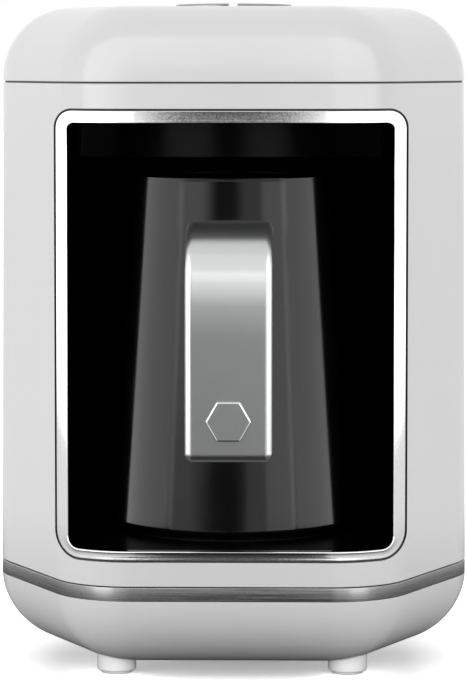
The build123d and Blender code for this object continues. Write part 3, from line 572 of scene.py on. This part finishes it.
class StageSettings(bpy.types.PropertyGroup):
    """Light and camera."""
    left_light: light_setting("Left wall", "Brightness of the white wall on the left", 1.55)
    right_light: light_setting("Right wall", "Brightness of the white wall on the right", 0.74)
    top_light: light_setting("Ceiling", "Brightness overhead and high in front", 1.08)
    gap_light: light_setting("Camera side", "Brightness of the quiet patch round the camera", 0.10)
    strip_light: light_setting("Strips", "Brightness of the strips that draw the pot's bands", 1.65)
    lens: FloatProperty(name="Lens", description="Focal length of the camera in millimetres",
                        min=20.0, max=300.0, default=166.9)
    distance: length_setting("Distance", "From the camera to the middle of the housing", 0.3, 3.0, 1.062)
    height: length_setting("Height", "Height of the camera over the floor", 0.0, 2.0, 0.2018)


class CoffeeMakerSettings(bpy.types.PropertyGroup):
    """All settings of the coffee maker."""
    housing: PointerProperty(type=HousingSettings)
    pot: PointerProperty(type=PotSettings)
    stage: PointerProperty(type=StageSettings)


def settings():
    """The scene's settings for all pieces."""
    return bpy.context.scene.coffee_maker


# ---- pieces ----
class COFFEE_OT_base_shell(bpy.types.Operator):
    """Rounded white tub under the trim band, with wells for its screws and slits for air"""
    bl_idname = "coffee.base_shell"
    bl_label = "Base shell"

    def execute(self, context):
        low, eased = UNDERSIDE_Z, 0.08
        outer = rounded_levels(FLARE, TRIM_LOW_Z, low, EDGE_ROUND, 24, eased)
        inner = rounded_levels(FLARE - WALL, TRIM_LOW_Z + 0.15, low + WALL, EDGE_ROUND - WALL, 10, eased)
        lip = [(FLARE, TRIM_LOW_Z - 0.1), (FLARE - 0.25, TRIM_LOW_Z + 0.15)]
        bm = housing(list(reversed(outer[1:])) + lip + inner, steps=20)
        well_radius, well_top = 3.6, 12.0
        tools = [rod(well_radius, low - 3, well_top, 40, (side * x, at(depth), 0))
                 for x, depth in ((46.0, 60.0), (20.0, 102.0)) for _, side in SIDES]
        slit_half, pitch = 1.2, 8.0
        for column in range(-2, 3):
            slit = window_block(slit_half, low - 3, low + 6, (0, 0), at(46.0), at(80.0))
            bmesh.ops.translate(slit, verts=slit.verts, vec=(column * pitch, 0, 0))
            tools.append(slit)
        finished("base_shell_skin", cut(bm, *tools), "white_gloss", "housing", "base_shell")
        return {"FINISHED"}


class COFFEE_OT_trim_band(bpy.types.Operator):
    """Steel band between the base and the body"""
    bl_idname = "coffee.trim_band"
    bl_label = "Trim band"

    def execute(self, context):
        low, high, edge = TRIM_LOW_Z + 0.4, TRIM_HIGH_Z, 0.2
        bm = housing([(FLARE - edge, low), (FLARE, low + edge), (FLARE, high - edge), (FLARE - edge, high),
                      (FLARE - WALL, high), (FLARE - WALL, low)], closed=True, steps=24)
        finished("trim_band_steel", bm, "trim_steel", "housing", "trim_band", sharp=50.0)
        return {"FINISHED"}


class COFFEE_OT_body_shell(bpy.types.Operator):
    """White sleeve in two halves, with the window at the front, the openings at the rear and a seal on top"""
    bl_idname = "coffee.body_shell"
    bl_label = "Body shell"

    def execute(self, context):
        low, high, edge, gap = TRIM_HIGH_Z + 0.3, BODY_HIGH_Z, 0.25, 0.15
        inside = flare_at(high) - WALL
        ledge, ledge_high, ledge_low = -9.0, high - 4.0, high - 6.4
        levels = [(flare_at(low) - edge, low), (flare_at(low), low + edge), (flare_at(high), high - edge),
                  (flare_at(high) - edge, high), (inside, high), (inside, ledge_high), (ledge, ledge_high),
                  (ledge, ledge_low), (inside, ledge_low), (flare_at(low) - WALL, low)]
        window = window_block(WINDOW_HALF, WINDOW_LOW_Z, WINDOW_HIGH_Z, WINDOW_RADII, at(-12.0), at(45.0))
        rear = window_block(REAR_HALF, REAR_LOW_Z, REAR_HIGH_Z, (7.0, 7.0), at(128.0), at(150.0))
        gland_hole = rod(8.2, -20, 20, 64, (0, at(141.0), GLAND_Z), lying=True)
        for name, way, tools in (("front", 1, [window]), ("rear", -1, [rear, gland_hole])):
            bm = housing(levels, closed=True, steps=24)
            cut_off(bm, (0, at(SPLIT_T) - way * gap, 0), (0, way, 0))
            finished(f"body_{name}_skin", cut(bm, *tools), "white_gloss", "housing", f"body_{name}_shell")
        outside, inside, low, high = -0.6, -2.0, BODY_HIGH_Z - 0.04, COVER_LOW_Z + 0.04
        seal = housing([(outside, low), (outside, high), (inside, high), (inside, low)], closed=True)
        finished("cover_seal", seal, "joint_rubber", "housing")
        return {"FINISHED"}


class COFFEE_OT_top_cover(bpy.types.Operator):
    """Rounded white cover with the two holes for the buttons"""
    bl_idname = "coffee.top_cover"
    bl_label = "Top cover"

    def execute(self, context):
        low, step = COVER_LOW_Z, 4.4
        outer = rounded_levels(0.0, low + 0.25, TOP_Z, EDGE_ROUND, 28)
        inner = rounded_levels(-WALL, low + step, TOP_Z - WALL, EDGE_ROUND - WALL, 10)
        rim_out, rim_in, rim_low = -WALL - 0.15, -WALL - 2.1, low - 3.8
        rim = [(-0.25, low), (rim_out, low), (rim_out, rim_low), (rim_in, rim_low), (rim_in, low + step)]
        bm = housing(list(reversed(outer)) + rim + inner, steps=24)
        hole_radius, hole_low, hole_high, web_half = 19.65, 210, 230, 1.35
        holes = []
        for _, side in SIDES:
            hole = rod(hole_radius, hole_low, hole_high, 96, (0, BUTTON_Y, 0))
            cut_off(hole, (side * web_half, 0, 0), (-side, 0, 0))
            holes.append(hole)
        finished("top_cover_skin", cut(bm, *holes), "white_gloss", "housing", "top_cover")
        return {"FINISHED"}


def frame_points(half, low, high, radii):
    """Corners of the bezel's outline with points between them that let it bend, and the radius at each."""
    across = [x * 2.0 for x in range(-24, 25)]
    upwards = [WINDOW_LOW_Z + 12 + i * 12.0 for i in range(11)]
    points = [(-half, low)] + [(x, low) for x in across] + [(half, low)] + [(half, z) for z in upwards]
    points += [(half, high)] + [(-x, high) for x in across] + [(-half, high)]
    points += [(-half, z) for z in reversed(upwards)]
    turns = {(-half, low): radii[0], (half, low): radii[0], (half, high): radii[1], (-half, high): radii[1]}
    return points, [turns.get(point, 0.0) for point in points]


class COFFEE_OT_bezel(bpy.types.Operator):
    """Steel frame round the bay's mouth, following the body's surface, with a hollow face and rolled edges"""
    bl_idname = "coffee.bezel"
    bl_label = "Bezel"

    def execute(self, context):
        outer_roll, inner_roll = 0.25, settings().housing.bezel_edge / MM
        thick, hollow = 3.0, 0.06
        outer_half = WINDOW_HALF - JOINT
        outer_low, outer_high = WINDOW_LOW_Z + JOINT, WINDOW_HIGH_Z - JOINT
        full = outer_half - MOUTH_HALF
        quarter = [(1 - math.cos(math.pi / 8 * i), 1 - math.sin(math.pi / 8 * i)) for i in range(5)]
        shares = (0.2, 0.35, 0.5, 0.65, 0.8)
        levels = [(0.0, thick)] + [(outer_roll * inset, outer_roll * depth) for inset, depth in quarter]
        levels += [(full * share, hollow * (1 - (2 * share - 1) ** 2)) for share in shares]
        levels += [(full - inner_roll * inset, inner_roll * depth) for inset, depth in reversed(quarter)]
        levels.append((full, thick))
        bm = bmesh.new()
        loops = []
        for i, (inset, _) in enumerate(levels):
            share = inset / full
            low = outer_low + (MOUTH_LOW_Z - outer_low) * share
            high = outer_high + (MOUTH_HIGH_Z - outer_high) * share
            radii = [(window - JOINT) + (mouth - (window - JOINT)) * share
                     for window, mouth in zip(WINDOW_RADII, MOUTH_RADII)]
            points, turns = frame_points(outer_half - inset, low, high, radii)
            loops.append(outline(bm, points, turns, upright(i), 8))
        bridge(bm, loops, closed=True)
        flat_from, fading = MOUTH_HIGH_Z - 0.5, 2.5
        for loop, (inset, depth) in zip(loops, levels):
            on_inner_roll = full - inner_roll <= inset and depth < thick
            for v in loop:
                kept = min(1.0, max(0.0, (flat_from - v.co.z) / fading)) if on_inner_roll else 1.0
                v.co.y = surface_y(v.co.x, v.co.z) + depth * kept
        finished("bezel_frame_steel", bm, "bezel_steel", "housing", "bezel_frame", sharp=60.0)
        return {"FINISHED"}


class COFFEE_OT_bay(bpy.types.Operator):
    """Dark wall round the bay, and the turned heating plate on its floor"""
    bl_idname = "coffee.bay"
    bl_label = "Bay"

    def execute(self, context):
        bm = bmesh.new()
        behind_surface, thick = 3.2, 2.0
        for z in (LINER_LOW_Z, LINER_TOP_Z):
            end = bm.verts.new((-BAY_HALF, surface_y(BAY_HALF, z, -behind_surface), z))
            start = bm.verts.new((BAY_HALF, end.co.y, z))
            turn = bm.verts.new((BAY_HALF, BAY_Y, z))
            bm.edges.new((start, turn))
            arc = bmesh.ops.spin(bm, geom=[turn], cent=(0, BAY_Y, z), axis=(0, 0, 1), angle=math.pi, steps=96)
            bm.edges.new((vertices(arc["geom_last"])[0], end))
        bmesh.ops.bridge_loops(bm, edges=bm.edges[:])
        bmesh.ops.recalc_face_normals(bm, faces=bm.faces)
        middle = Vector((0, BAY_Y))
        if sum(f.normal.xy.dot(f.calc_center_median().xy - middle) for f in bm.faces) > 0:
            bmesh.ops.reverse_faces(bm, faces=bm.faces)
        bmesh.ops.solidify(bm, geom=bm.faces[:], thickness=thick)
        finished("bay_wall", bm, "black_gloss", "housing", "bay_liner")

        hole, radius, low, high = 5.0, 36.0, PLATE_TOP_Z - 3.5, PLATE_TOP_Z
        plate = turned([(hole, low), (radius, low), (radius, high), (hole, high)], [0, 0, 0.5, 0.3], 128,
                       (0, BAY_Y, 0))
        finished("heating_plate_disc", plate, "plate_aluminium", "housing", "heating_plate")
        return {"FINISHED"}


class COFFEE_OT_pot(bpy.types.Operator):
    """Conical enamelled pot with a beaded rim, and the metal disc under it"""
    bl_idname = "coffee.pot"
    bl_label = "Pot"

    def execute(self, context):
        pot = settings().pot
        centre = (0, BAY_Y, 0)
        wide, rim, wall = pot.base_radius / MM, pot.rim_radius / MM, 1.5
        foot_z, recess_z, recess, inside_z = 46.7, 49.0, 34.55, 50.9
        section = [(0, recess_z), (recess, recess_z), (recess, foot_z), (wide + 0.25, foot_z),
                   (rim + 0.1, POT_RIM_Z - 1.6), (rim + 0.4, POT_RIM_Z), (rim - 1.6, POT_RIM_Z),
                   (wide - wall, inside_z), (0, inside_z)]
        bm = turned(section, [0, 0, 0.3, 2.6, 0.4, 0.7, 0.7, 3.5, 0], pot.steps, centre)
        finished("pot_shell", bm, "pot_enamel", "pot", "pot_body")
        low, high, radius = 46.2, recess_z - 0.05, recess - 0.05
        disc = turned([(0, low), (radius, low), (radius, high), (0, high)], [0, 0.5, 0, 0], pot.steps, centre)
        finished("pot_base_plate", disc, "sheath_steel", "pot", "pot_base_disc")
        return {"FINISHED"}


# Bends of the handle from its upright face to the pot: radius, heading in degrees at the end, and steps.
HANDLE_BENDS = ((200.0, 3.0, 4), (80.0, 8.0, 5), (35.0, 12.5, 4), (13.5, 45.0, 14), (22.0, 65.0, 8),
                (45.0, 93.3, 12))


def handle_cover():
    """Mesh of the handle's metal: rounded foot, upright face, bends and an arm that ends at the pot."""
    half, thick, low, straight_until, arm = 13.7, 3.0, 77.9, 116.2, 24.0
    corner, foot_inset, foot_rise = 2.5, 2.4, 2.8
    face = at(HANDLE_FACE_T)
    turns = [math.pi / 16 * i for i in range(9)]
    levels = [(foot_inset * (1 - math.sin(turn)), foot_rise * (1 - math.cos(turn))) for turn in turns]
    bm = bmesh.new()
    loops = []
    for i, (inset, _) in enumerate(levels):
        side, front, back = half - inset, face + inset, face + thick
        corners = [(-side, front), (side, front), (side, back), (-side, back)]
        radius = max(corner - inset, 0.2)
        loops.append(outline(bm, corners, [radius, radius, 0.3, 0.3], Matrix.Translation((0, 0, i)), 8))
    bridge(bm, loops)
    fill(bm, loops[0])
    set_along(loops, 2, [low + rise for _, rise in levels])
    moved = vertices(bmesh.ops.extrude_edge_only(bm, edges=loop_edges(loops[-1]))["geom"])
    bmesh.ops.translate(bm, verts=moved, vec=(0, 0, straight_until - low - foot_rise))
    here, heading = Vector((face, straight_until)), 0.0
    for bend, until, steps in HANDLE_BENDS:
        until = math.radians(until)
        centre = here + Vector((math.cos(heading), -math.sin(heading))) * bend
        spun = bmesh.ops.spin(bm, geom=loop_edges(moved) + moved, cent=(0, *centre), axis=(-1, 0, 0),
                              angle=until - heading, steps=steps)
        moved = vertices(spun["geom_last"])
        heading = until
        here = centre - Vector((math.cos(heading), -math.sin(heading))) * bend
    moved = vertices(bmesh.ops.extrude_edge_only(bm, edges=loop_edges(moved))["geom"])
    bmesh.ops.translate(bm, verts=moved, vec=Vector((0, math.sin(heading), math.cos(heading))) * arm)
    fill(bm, moved)
    pot, gap = settings().pot, 2.15
    base, rim, low = pot.base_radius / MM + gap - 2.79, pot.rim_radius / MM + gap, 100
    cone = [(0, low), (base, low), (rim, POT_RIM_Z), (0, POT_RIM_Z)]
    return cut(bm, turned(cone, [0] * 4, 128, (0, BAY_Y, 0)))


def hexagon_cap():
    """Mesh of the six-sided cap on the handle's face, with an eased edge."""
    centre_z, flats = 90.8, 12.3
    levels = [(0.0, 0.0), (0.0, 0.60), (0.12, 0.82), (0.38, 0.97), (0.52, 1.0)]
    bm = bmesh.new()
    loops = []
    for i, (inset, _) in enumerate(levels):
        reach = (flats / 2 - inset) / math.cos(math.pi / 6)
        corners = [(reach * math.cos(math.pi / 3 * k), centre_z + reach * math.sin(math.pi / 3 * k))
                   for k in range(6)]
        loops.append(outline(bm, corners, [0.5] * 6, upright(i), 4))
    bridge(bm, loops)
    fill(bm, loops[0])
    fill(bm, loops[-1])
    set_along(loops, 1, [at(HANDLE_FACE_T) - proud for _, proud in levels])
    return bm


class COFFEE_OT_handle(bpy.types.Operator):
    """Broad satin metal cover of the handle, bent over towards the pot, and its six-sided cap"""
    bl_idname = "coffee.handle"
    bl_label = "Handle"

    def execute(self, context):
        finished("handle_grip_metal", handle_cover(), "satin_aluminium", "pot", "handle_grip", sharp=50.0)
        finished("hex_cap_metal", hexagon_cap(), "satin_aluminium", "pot", "handle_cap", sharp=70.0)
        return {"FINISHED"}


class COFFEE_OT_buttons(bpy.types.Operator):
    """Two half-round steel buttons that make one shallow dome"""
    bl_idname = "coffee.buttons"
    bl_label = "Buttons"

    def execute(self, context):
        radius, low, edge_z, crown_z, flat, steps = 19.4, 217.3, 220.95, 221.49, 1.6, 24
        rise = crown_z - edge_z
        ball = (radius ** 2 + rise ** 2) / (2 * rise)
        turns = [math.asin(radius / ball) * (steps - i) / steps for i in range(steps + 1)]
        dome = [(ball * math.sin(turn), crown_z - ball + ball * math.cos(turn)) for turn in turns]
        for hand, side in SIDES:
            cap = turned([(0, low), (radius, low)] + dome, [0, 0, 0.35] + [0] * steps, 128, (0, BUTTON_Y, 0))
            cut_off(cap, (side * flat, 0, 0), (-side, 0, 0))
            finished(f"button_cap_{hand}_steel", cap, "button_steel", f"button_{hand}", f"button_cap_{hand}",
                     sharp=40.0, bevel=0.3)
        return {"FINISHED"}


class COFFEE_OT_springs(bpy.types.Operator):
    """Return springs under the two buttons"""
    bl_idname = "coffee.springs"
    bl_label = "Button springs"

    def execute(self, context):
        seat_z, flange_z, travel = 208.8, 214.6, 1.0
        button_x, reach, wire, clear, turns, steps = 10.0, 4.6, 0.4, 0.05, 3, 40
        height = flange_z - seat_z - 2 * (wire + clear)
        place = Matrix.Translation((reach, 0, 0)) @ Matrix.Rotation(math.pi / 2, 4, "X")
        for hand, side in SIDES:
            coil = bmesh.new()
            start = bmesh.ops.create_circle(coil, segments=12, radius=wire, matrix=place)["verts"]
            spun = bmesh.ops.spin(coil, geom=loop_edges(start) + start, cent=(0, 0, 0), axis=(0, 0, 1),
                                  angle=math.tau * turns, dvec=(0, 0, height / (turns * steps)),
                                  steps=turns * steps)
            fill(coil, start)
            fill(coil, vertices(spun["geom_last"]))
            seat = (side * button_x, BUTTON_Y, seat_z + wire + clear)
            bmesh.ops.translate(coil, verts=coil.verts, vec=seat)
            piece = finished(f"button_spring_{hand}_coil", coil, "sheath_steel", "housing",
                             f"button_spring_{hand}", sharp=60.0, weighted=False)
            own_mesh(piece)
        return {"FINISHED"}


class COFFEE_OT_feet(bpy.types.Operator):
    """Four round feet with rubber pads"""
    bl_idname = "coffee.feet"
    bl_label = "Feet"

    def execute(self, context):
        radius, recess, low, high, recess_z = 6.5, 5.3, 1.0, 11.8, 1.6
        post = [(0, recess_z), (recess, recess_z), (recess, low), (radius, low), (radius, high), (0, high)]
        pad_radius, pad_high = recess - 0.05, recess_z - 0.05
        pad = [(0, 0), (pad_radius, 0), (pad_radius, pad_high), (0, pad_high)]
        for word, x, depth in (("front", 38.3, 35.0), ("rear", 34.0, 105.0)):
            for hand, side in SIDES:
                name = f"{word}_{hand}"
                centre = (side * x, at(depth), 0.0)
                foot = turned(post, [0, 0, 0.2, 0.6, 0, 0], 64, centre)
                finished(f"foot_{name}_post", foot, "white_satin", "housing", f"foot_{name}")
                disc = turned(pad, [0, 0.4, 0, 0], 64, centre)
                finished(f"foot_pad_{name}_disc", disc, "grey_rubber", "housing", f"foot_pad_{name}")
        return {"FINISHED"}


class COFFEE_OT_gland(bpy.types.Operator):
    """Black bush that the mains cord comes through at the rear"""
    bl_idname = "coffee.gland"
    bl_label = "Cord gland"

    def execute(self, context):
        bore, shank, collar, length, collar_length = 3.6, 5.5, 8.0, 14.0, 1.5
        rear_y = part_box("cord_gland")[1].y / MM
        section = [(bore, -length), (shank, -length), (shank, -collar_length), (collar, -collar_length),
                   (collar, 0.0), (bore, 0.0)]
        bm = turned(section, [0.2, 0.2, 0, 0, 0.6, 0.5], 72, (0, rear_y, GLAND_Z), lying=True)
        finished("cord_gland_bush", bm, "black_plastic", "housing", "cord_gland")
        return {"FINISHED"}


class COFFEE_OT_inner_parts(bpy.types.Operator):
    """Finishes of the parts that keep their own shape: covers, boards, screws and plungers"""
    bl_idname = "coffee.inner_parts"
    bl_label = "Inner parts"

    def execute(self, context):
        other = {"brushed_steel": "trim_steel", "bezel_gasket": "joint_rubber", "bay_ceiling": "header_gloss"}
        for entry in frame["record"]["subparts"]:
            name, slot = entry["node"], entry["material_slot"]
            materials = frame["nodes"][name].data.materials
            materials.clear()
            materials.append(finish_named(other.get(name, other.get(slot, slot))))
        return {"FINISHED"}


# ---- stage ----
def lit_world():
    """Room light with a quiet patch in front; plain white to the camera and to reflections of the rear."""
    stage = settings().stage
    world = bpy.data.worlds.new("Studio")
    bpy.context.scene.world = world
    world.use_nodes = True
    world.node_tree.nodes.clear()
    graph = Graph(world.node_tree)
    where = graph.add("TexCoord", {}).outputs["Generated"]
    x, y, z = graph.add("SeparateXYZ", {0: where}).outputs

    patch_x = graph.math("ABSOLUTE", graph.math("ADD", x, 0.13))
    rightwards = graph.ranged(x, -0.5, 0.5)
    beside = graph.mixed(rightwards, stage.left_light, stage.right_light)
    front = graph.mixed(graph.ranged(patch_x, 0.13, 0.47), stage.gap_light, beside)
    rear = graph.mixed(rightwards, stage.left_light * 0.9, stage.right_light * 1.1)
    low = graph.mixed(graph.ranged(y, -0.25, 0.35), front, rear)
    high = graph.mixed(graph.ranged(y, -0.35, 0.30), stage.top_light, stage.top_light * 0.75)
    level = graph.mixed(graph.ranged(z, 0.10, 0.45), low, high)

    colour = (1.0, 1.0, 1.0, 1.0)
    room = graph.add("Background", {"Color": colour, "Strength": level})
    white = graph.add("Background", {"Color": colour, "Strength": 1.0})
    path = graph.add("LightPath", {}).outputs
    mirrored = graph.math("ADD", path["Is Glossy Ray"], path["Is Transmission Ray"])
    behind = graph.math("MULTIPLY", mirrored, graph.ranged(y, -0.10, 0.35))
    factor = graph.math("MAXIMUM", path["Is Camera Ray"], behind)
    graph.add("OutputWorld", {"Surface": graph.mixed_shaders(factor, room, white)})


def floor_finish():
    """Floor with a dark lane in its reflection and painted shade round the object for reflections and bounced
    light, brightened for the camera, which still sees the shadow.
    """
    finish = Finish("studio_floor", (0.35, 0.35, 0.35), 0.0, 0.9, 0.0)
    x, y, _ = finish.add("SeparateXYZ", {0: finish.where}).outputs
    path = finish.add("LightPath", {}).outputs
    reach = finish.length(finish.where)

    # The lane widens and drifts to one side with its distance in front of the object.
    far = finish.math("MAXIMUM", finish.math("SUBTRACT", -0.45, y), 0.0)
    offset = finish.math("MULTIPLY_ADD", far, 0.36, finish.math("ADD", x, 0.0025))
    aside = finish.math("MULTIPLY_ADD", far, -0.65, finish.math("ABSOLUTE", offset))
    off_lane = finish.math("MAXIMUM", finish.ranged(aside, 0.030, 0.048), finish.ranged(y, -0.12, -0.08))
    # Painted shade: reflections see the floor darker near the object, standing in for its shadow there.
    mirrored_painted_shade = finish.ranged(reach, 0.20, 0.45, 0.14, 0.85)
    mirrored = finish.math("MULTIPLY", mirrored_painted_shade, finish.ranged(off_lane, 0.0, 1.0, 0.06, 1.0))
    # Painted shade: the light the floor bounces is darker close round the object, which darkens the base's
    # underside.
    bounced_painted_shade = finish.ranged(reach, 0.055, 0.105, 0.14, 0.95)
    tone = finish.mixed(path["Is Diffuse Ray"], mirrored, bounced_painted_shade)
    finish.feed(finish.shader, {"Base Color": finish.grey(tone)})

    # The camera sees a brightened copy of the floor with its real shadow, less brightened beside the object,
    # which paints that shadow wider and darker there.
    gain = finish.ranged(finish.math("ABSOLUTE", x), 0.030, 0.060, 4.5, 1.2)
    pale = finish.add("BsdfDiffuse", {"Color": finish.grey(gain)})
    lift = finish.add("Emission", {"Strength": 0.28})
    seen = finish.add("AddShader", {0: pale.outputs[0], 1: lift.outputs[0]})
    surface = finish.mixed_shaders(path["Is Camera Ray"], finish.shader, seen)
    finish.feed(finish.nodes["Material Output"], {"Surface": surface})
    return finish.material


def studio_floor():
    """Wide flat floor under the object."""
    half = 8.0
    bm = bmesh.new()
    bm.faces.new([bm.verts.new((x * half, y * half, 0)) for x, y in ((-1, -1), (1, -1), (1, 1), (-1, 1))])
    mesh = bpy.data.meshes.new("floor")
    bm.to_mesh(mesh)
    bm.free()
    mesh.materials.append(floor_finish())
    floor = bpy.data.objects.new("floor", mesh)
    bpy.context.scene.collection.objects.link(floor)


def panel(name, centre, turn, size, brightness, pieces, diffuse=False):
    """Upright glowing panel that only the named pieces reflect, turned by degrees from facing the rear."""
    data = bpy.data.lights.new(name, "AREA")
    data.shape = "RECTANGLE"
    data.size, data.size_y = size
    data.energy = brightness * math.pi * size[0] * size[1]
    light = bpy.data.objects.new(name, data)
    light.location = centre
    light.rotation_euler = (math.pi / 2, 0, math.radians(turn))
    light.visible_camera = False
    light.visible_diffuse = diffuse
    lit = bpy.data.collections.new(f"{name}_pieces")
    for piece in pieces:
        lit.objects.link(bpy.data.objects[piece])
    light.light_linking.receiver_collection = lit
    bpy.context.scene.collection.objects.link(light)


def pot_and_trim_panels(brightness):
    """Strips inside the window that draw the pot's bands, and panels beside the trim band."""
    x, z, high, pot = 0.0522, 0.1078, 0.1205, ("pot_shell",)
    panel("pot_left_strip", (-x, -0.0255, z), -90, (0.0390, high), brightness, pot)
    panel("pot_right_strip", (x, -0.02845, z), 90, (0.0331, high), brightness, pot)
    for hand, side in SIDES:
        panel(f"pot_{hand}_edge_strip", (side * x, -0.0480, z), side * 90, (0.0060, high),
              brightness * 0.45, pot)
        panel(f"trim_{hand}_panel", (side * 0.17, -0.21, 0.02), side * 40, (0.10, 0.04), 0.9,
              ("trim_band_steel",))
    panel("pot_right_panel", (0.6, -0.50, 0.25), 90, (0.90, 0.50), 0.85, pot)


def handle_and_top_panels():
    """Panels for the handle and its cap, the black header over the pot, and the buttons."""
    front_y, handle, cap = -1.07, ("handle_grip_metal", "hex_cap_metal"), ("hex_cap_metal",)
    for hand, side in SIDES:
        panel(f"handle_{hand}_panel", (side * 0.6, -0.50, 0.45), side * 90, (0.90, 0.90), 2.2, handle)
    for hand, x, width in (("left", -0.0455, 0.030), ("right", 0.0035, 0.026)):
        panel(f"header_{hand}_panel", (x, front_y, 0.147), 0, (width, 0.07), 14.0,
              (frame["nodes"]["bay_ceiling"].name,))
    panel("handle_front_panel", (0.0, -1.09, 0.42), 0, (0.50, 0.44), 0.90, handle)
    panel("button_panel", (0.0, front_y, 0.24), 0, (0.30, 0.16), 1.8,
          [f"button_cap_{hand}_steel" for hand, _ in SIDES])
    for hand, side in SIDES:
        panel(f"hexagon_{hand}_panel", (side * 0.11, -0.125, 0.045), side * 90, (0.15, 0.09), 1.2, cap)


def housing_panels():
    """Panel for the front feet, and walls with a quiet gap in front for the steel and white pieces."""
    front_y, bezel = -1.07, ("bezel_frame_steel",)
    white = ("top_cover_skin", "body_front_skin", "body_rear_skin", "base_shell_skin")
    feet = [name for hand, _ in SIDES for name in (f"foot_front_{hand}_post", f"foot_pad_front_{hand}_disc")]
    panel("foot_panel", (0.0, -0.60, 0.10), 0, (0.80, 0.20), 7.5, feet, diffuse=True)
    for hand, side in SIDES:
        panel(f"steel_{hand}_side_panel", (side * 0.60, 0.15, 0.22), side * 90, (0.90, 0.40), 1.05, bezel)
    for (hand, side), gap_x in zip(SIDES, (-0.073, 0.033)):
        panel(f"steel_{hand}_panel", (gap_x + side * 1.20, front_y, 0.40), 0, (2.40, 0.84), 1.3,
              (*bezel, "trim_band_steel"))
        panel(f"white_{hand}_panel", (gap_x + side * 1.50, front_y, 1.50), 0, (3.00, 3.00), 1.9, white)


def front_camera():
    """Camera in front, a little to the right and looking slightly down."""
    stage = settings().stage
    turn, tilt, middle_y = math.radians(1.03), math.radians(5.04), 0.00585
    camera = bpy.data.objects.new("camera", bpy.data.cameras.new("camera"))
    bpy.context.scene.collection.objects.link(camera)
    camera.data.lens = stage.lens
    camera.data.sensor_width = 36.0
    camera.data.clip_start = 0.05
    across, back = math.sin(turn) * stage.distance, math.cos(turn) * stage.distance
    camera.location = (across, middle_y - back, stage.height)
    camera.rotation_euler = (math.pi / 2 - tilt, 0, turn)
    bpy.context.scene.camera = camera


class COFFEE_OT_stage(bpy.types.Operator):
    """Floor, light and camera"""
    bl_idname = "coffee.stage"
    bl_label = "Stage"

    def execute(self, context):
        context.scene.view_settings.view_transform = "Standard"
        lit_world()
        studio_floor()
        pot_and_trim_panels(settings().stage.strip_light)
        handle_and_top_panels()
        housing_panels()
        front_camera()
        return {"FINISHED"}


# ---- add-on ----
PIECES = (COFFEE_OT_base_shell, COFFEE_OT_trim_band, COFFEE_OT_body_shell, COFFEE_OT_top_cover,
          COFFEE_OT_bezel, COFFEE_OT_bay, COFFEE_OT_pot, COFFEE_OT_handle, COFFEE_OT_buttons,
          COFFEE_OT_springs, COFFEE_OT_feet, COFFEE_OT_gland, COFFEE_OT_inner_parts, COFFEE_OT_stage)


class COFFEE_PT_panel(bpy.types.Panel):
    """Pieces and settings of the coffee maker"""
    bl_idname = "COFFEE_PT_panel"
    bl_label = "Coffee Maker"
    bl_space_type = "VIEW_3D"
    bl_region_type = "UI"
    bl_category = "Coffee Maker"

    def draw(self, context):
        column = self.layout.column()
        for operator in PIECES:
            column.operator(operator.bl_idname)
        for group in (settings().housing, settings().pot, settings().stage):
            box = self.layout.box()
            for name in group.bl_rna.properties.keys():
                if name not in ("rna_type", "name"):
                    box.prop(group, name)


CLASSES = (HousingSettings, PotSettings, StageSettings, CoffeeMakerSettings, *PIECES, COFFEE_PT_panel)


def register():
    """Registers the settings, operators and panel."""
    for cls in CLASSES:
        bpy.utils.register_class(cls)
    bpy.types.Scene.coffee_maker = PointerProperty(type=CoffeeMakerSettings)


def unregister():
    """Takes them away again."""
    del bpy.types.Scene.coffee_maker
    for cls in reversed(CLASSES):
        bpy.utils.unregister_class(cls)


def main():
    register()
    for operator in PIECES:
        group, name = operator.bl_idname.split(".")
        getattr(getattr(bpy.ops, group), name)()


if __name__ == "__main__":
    main()
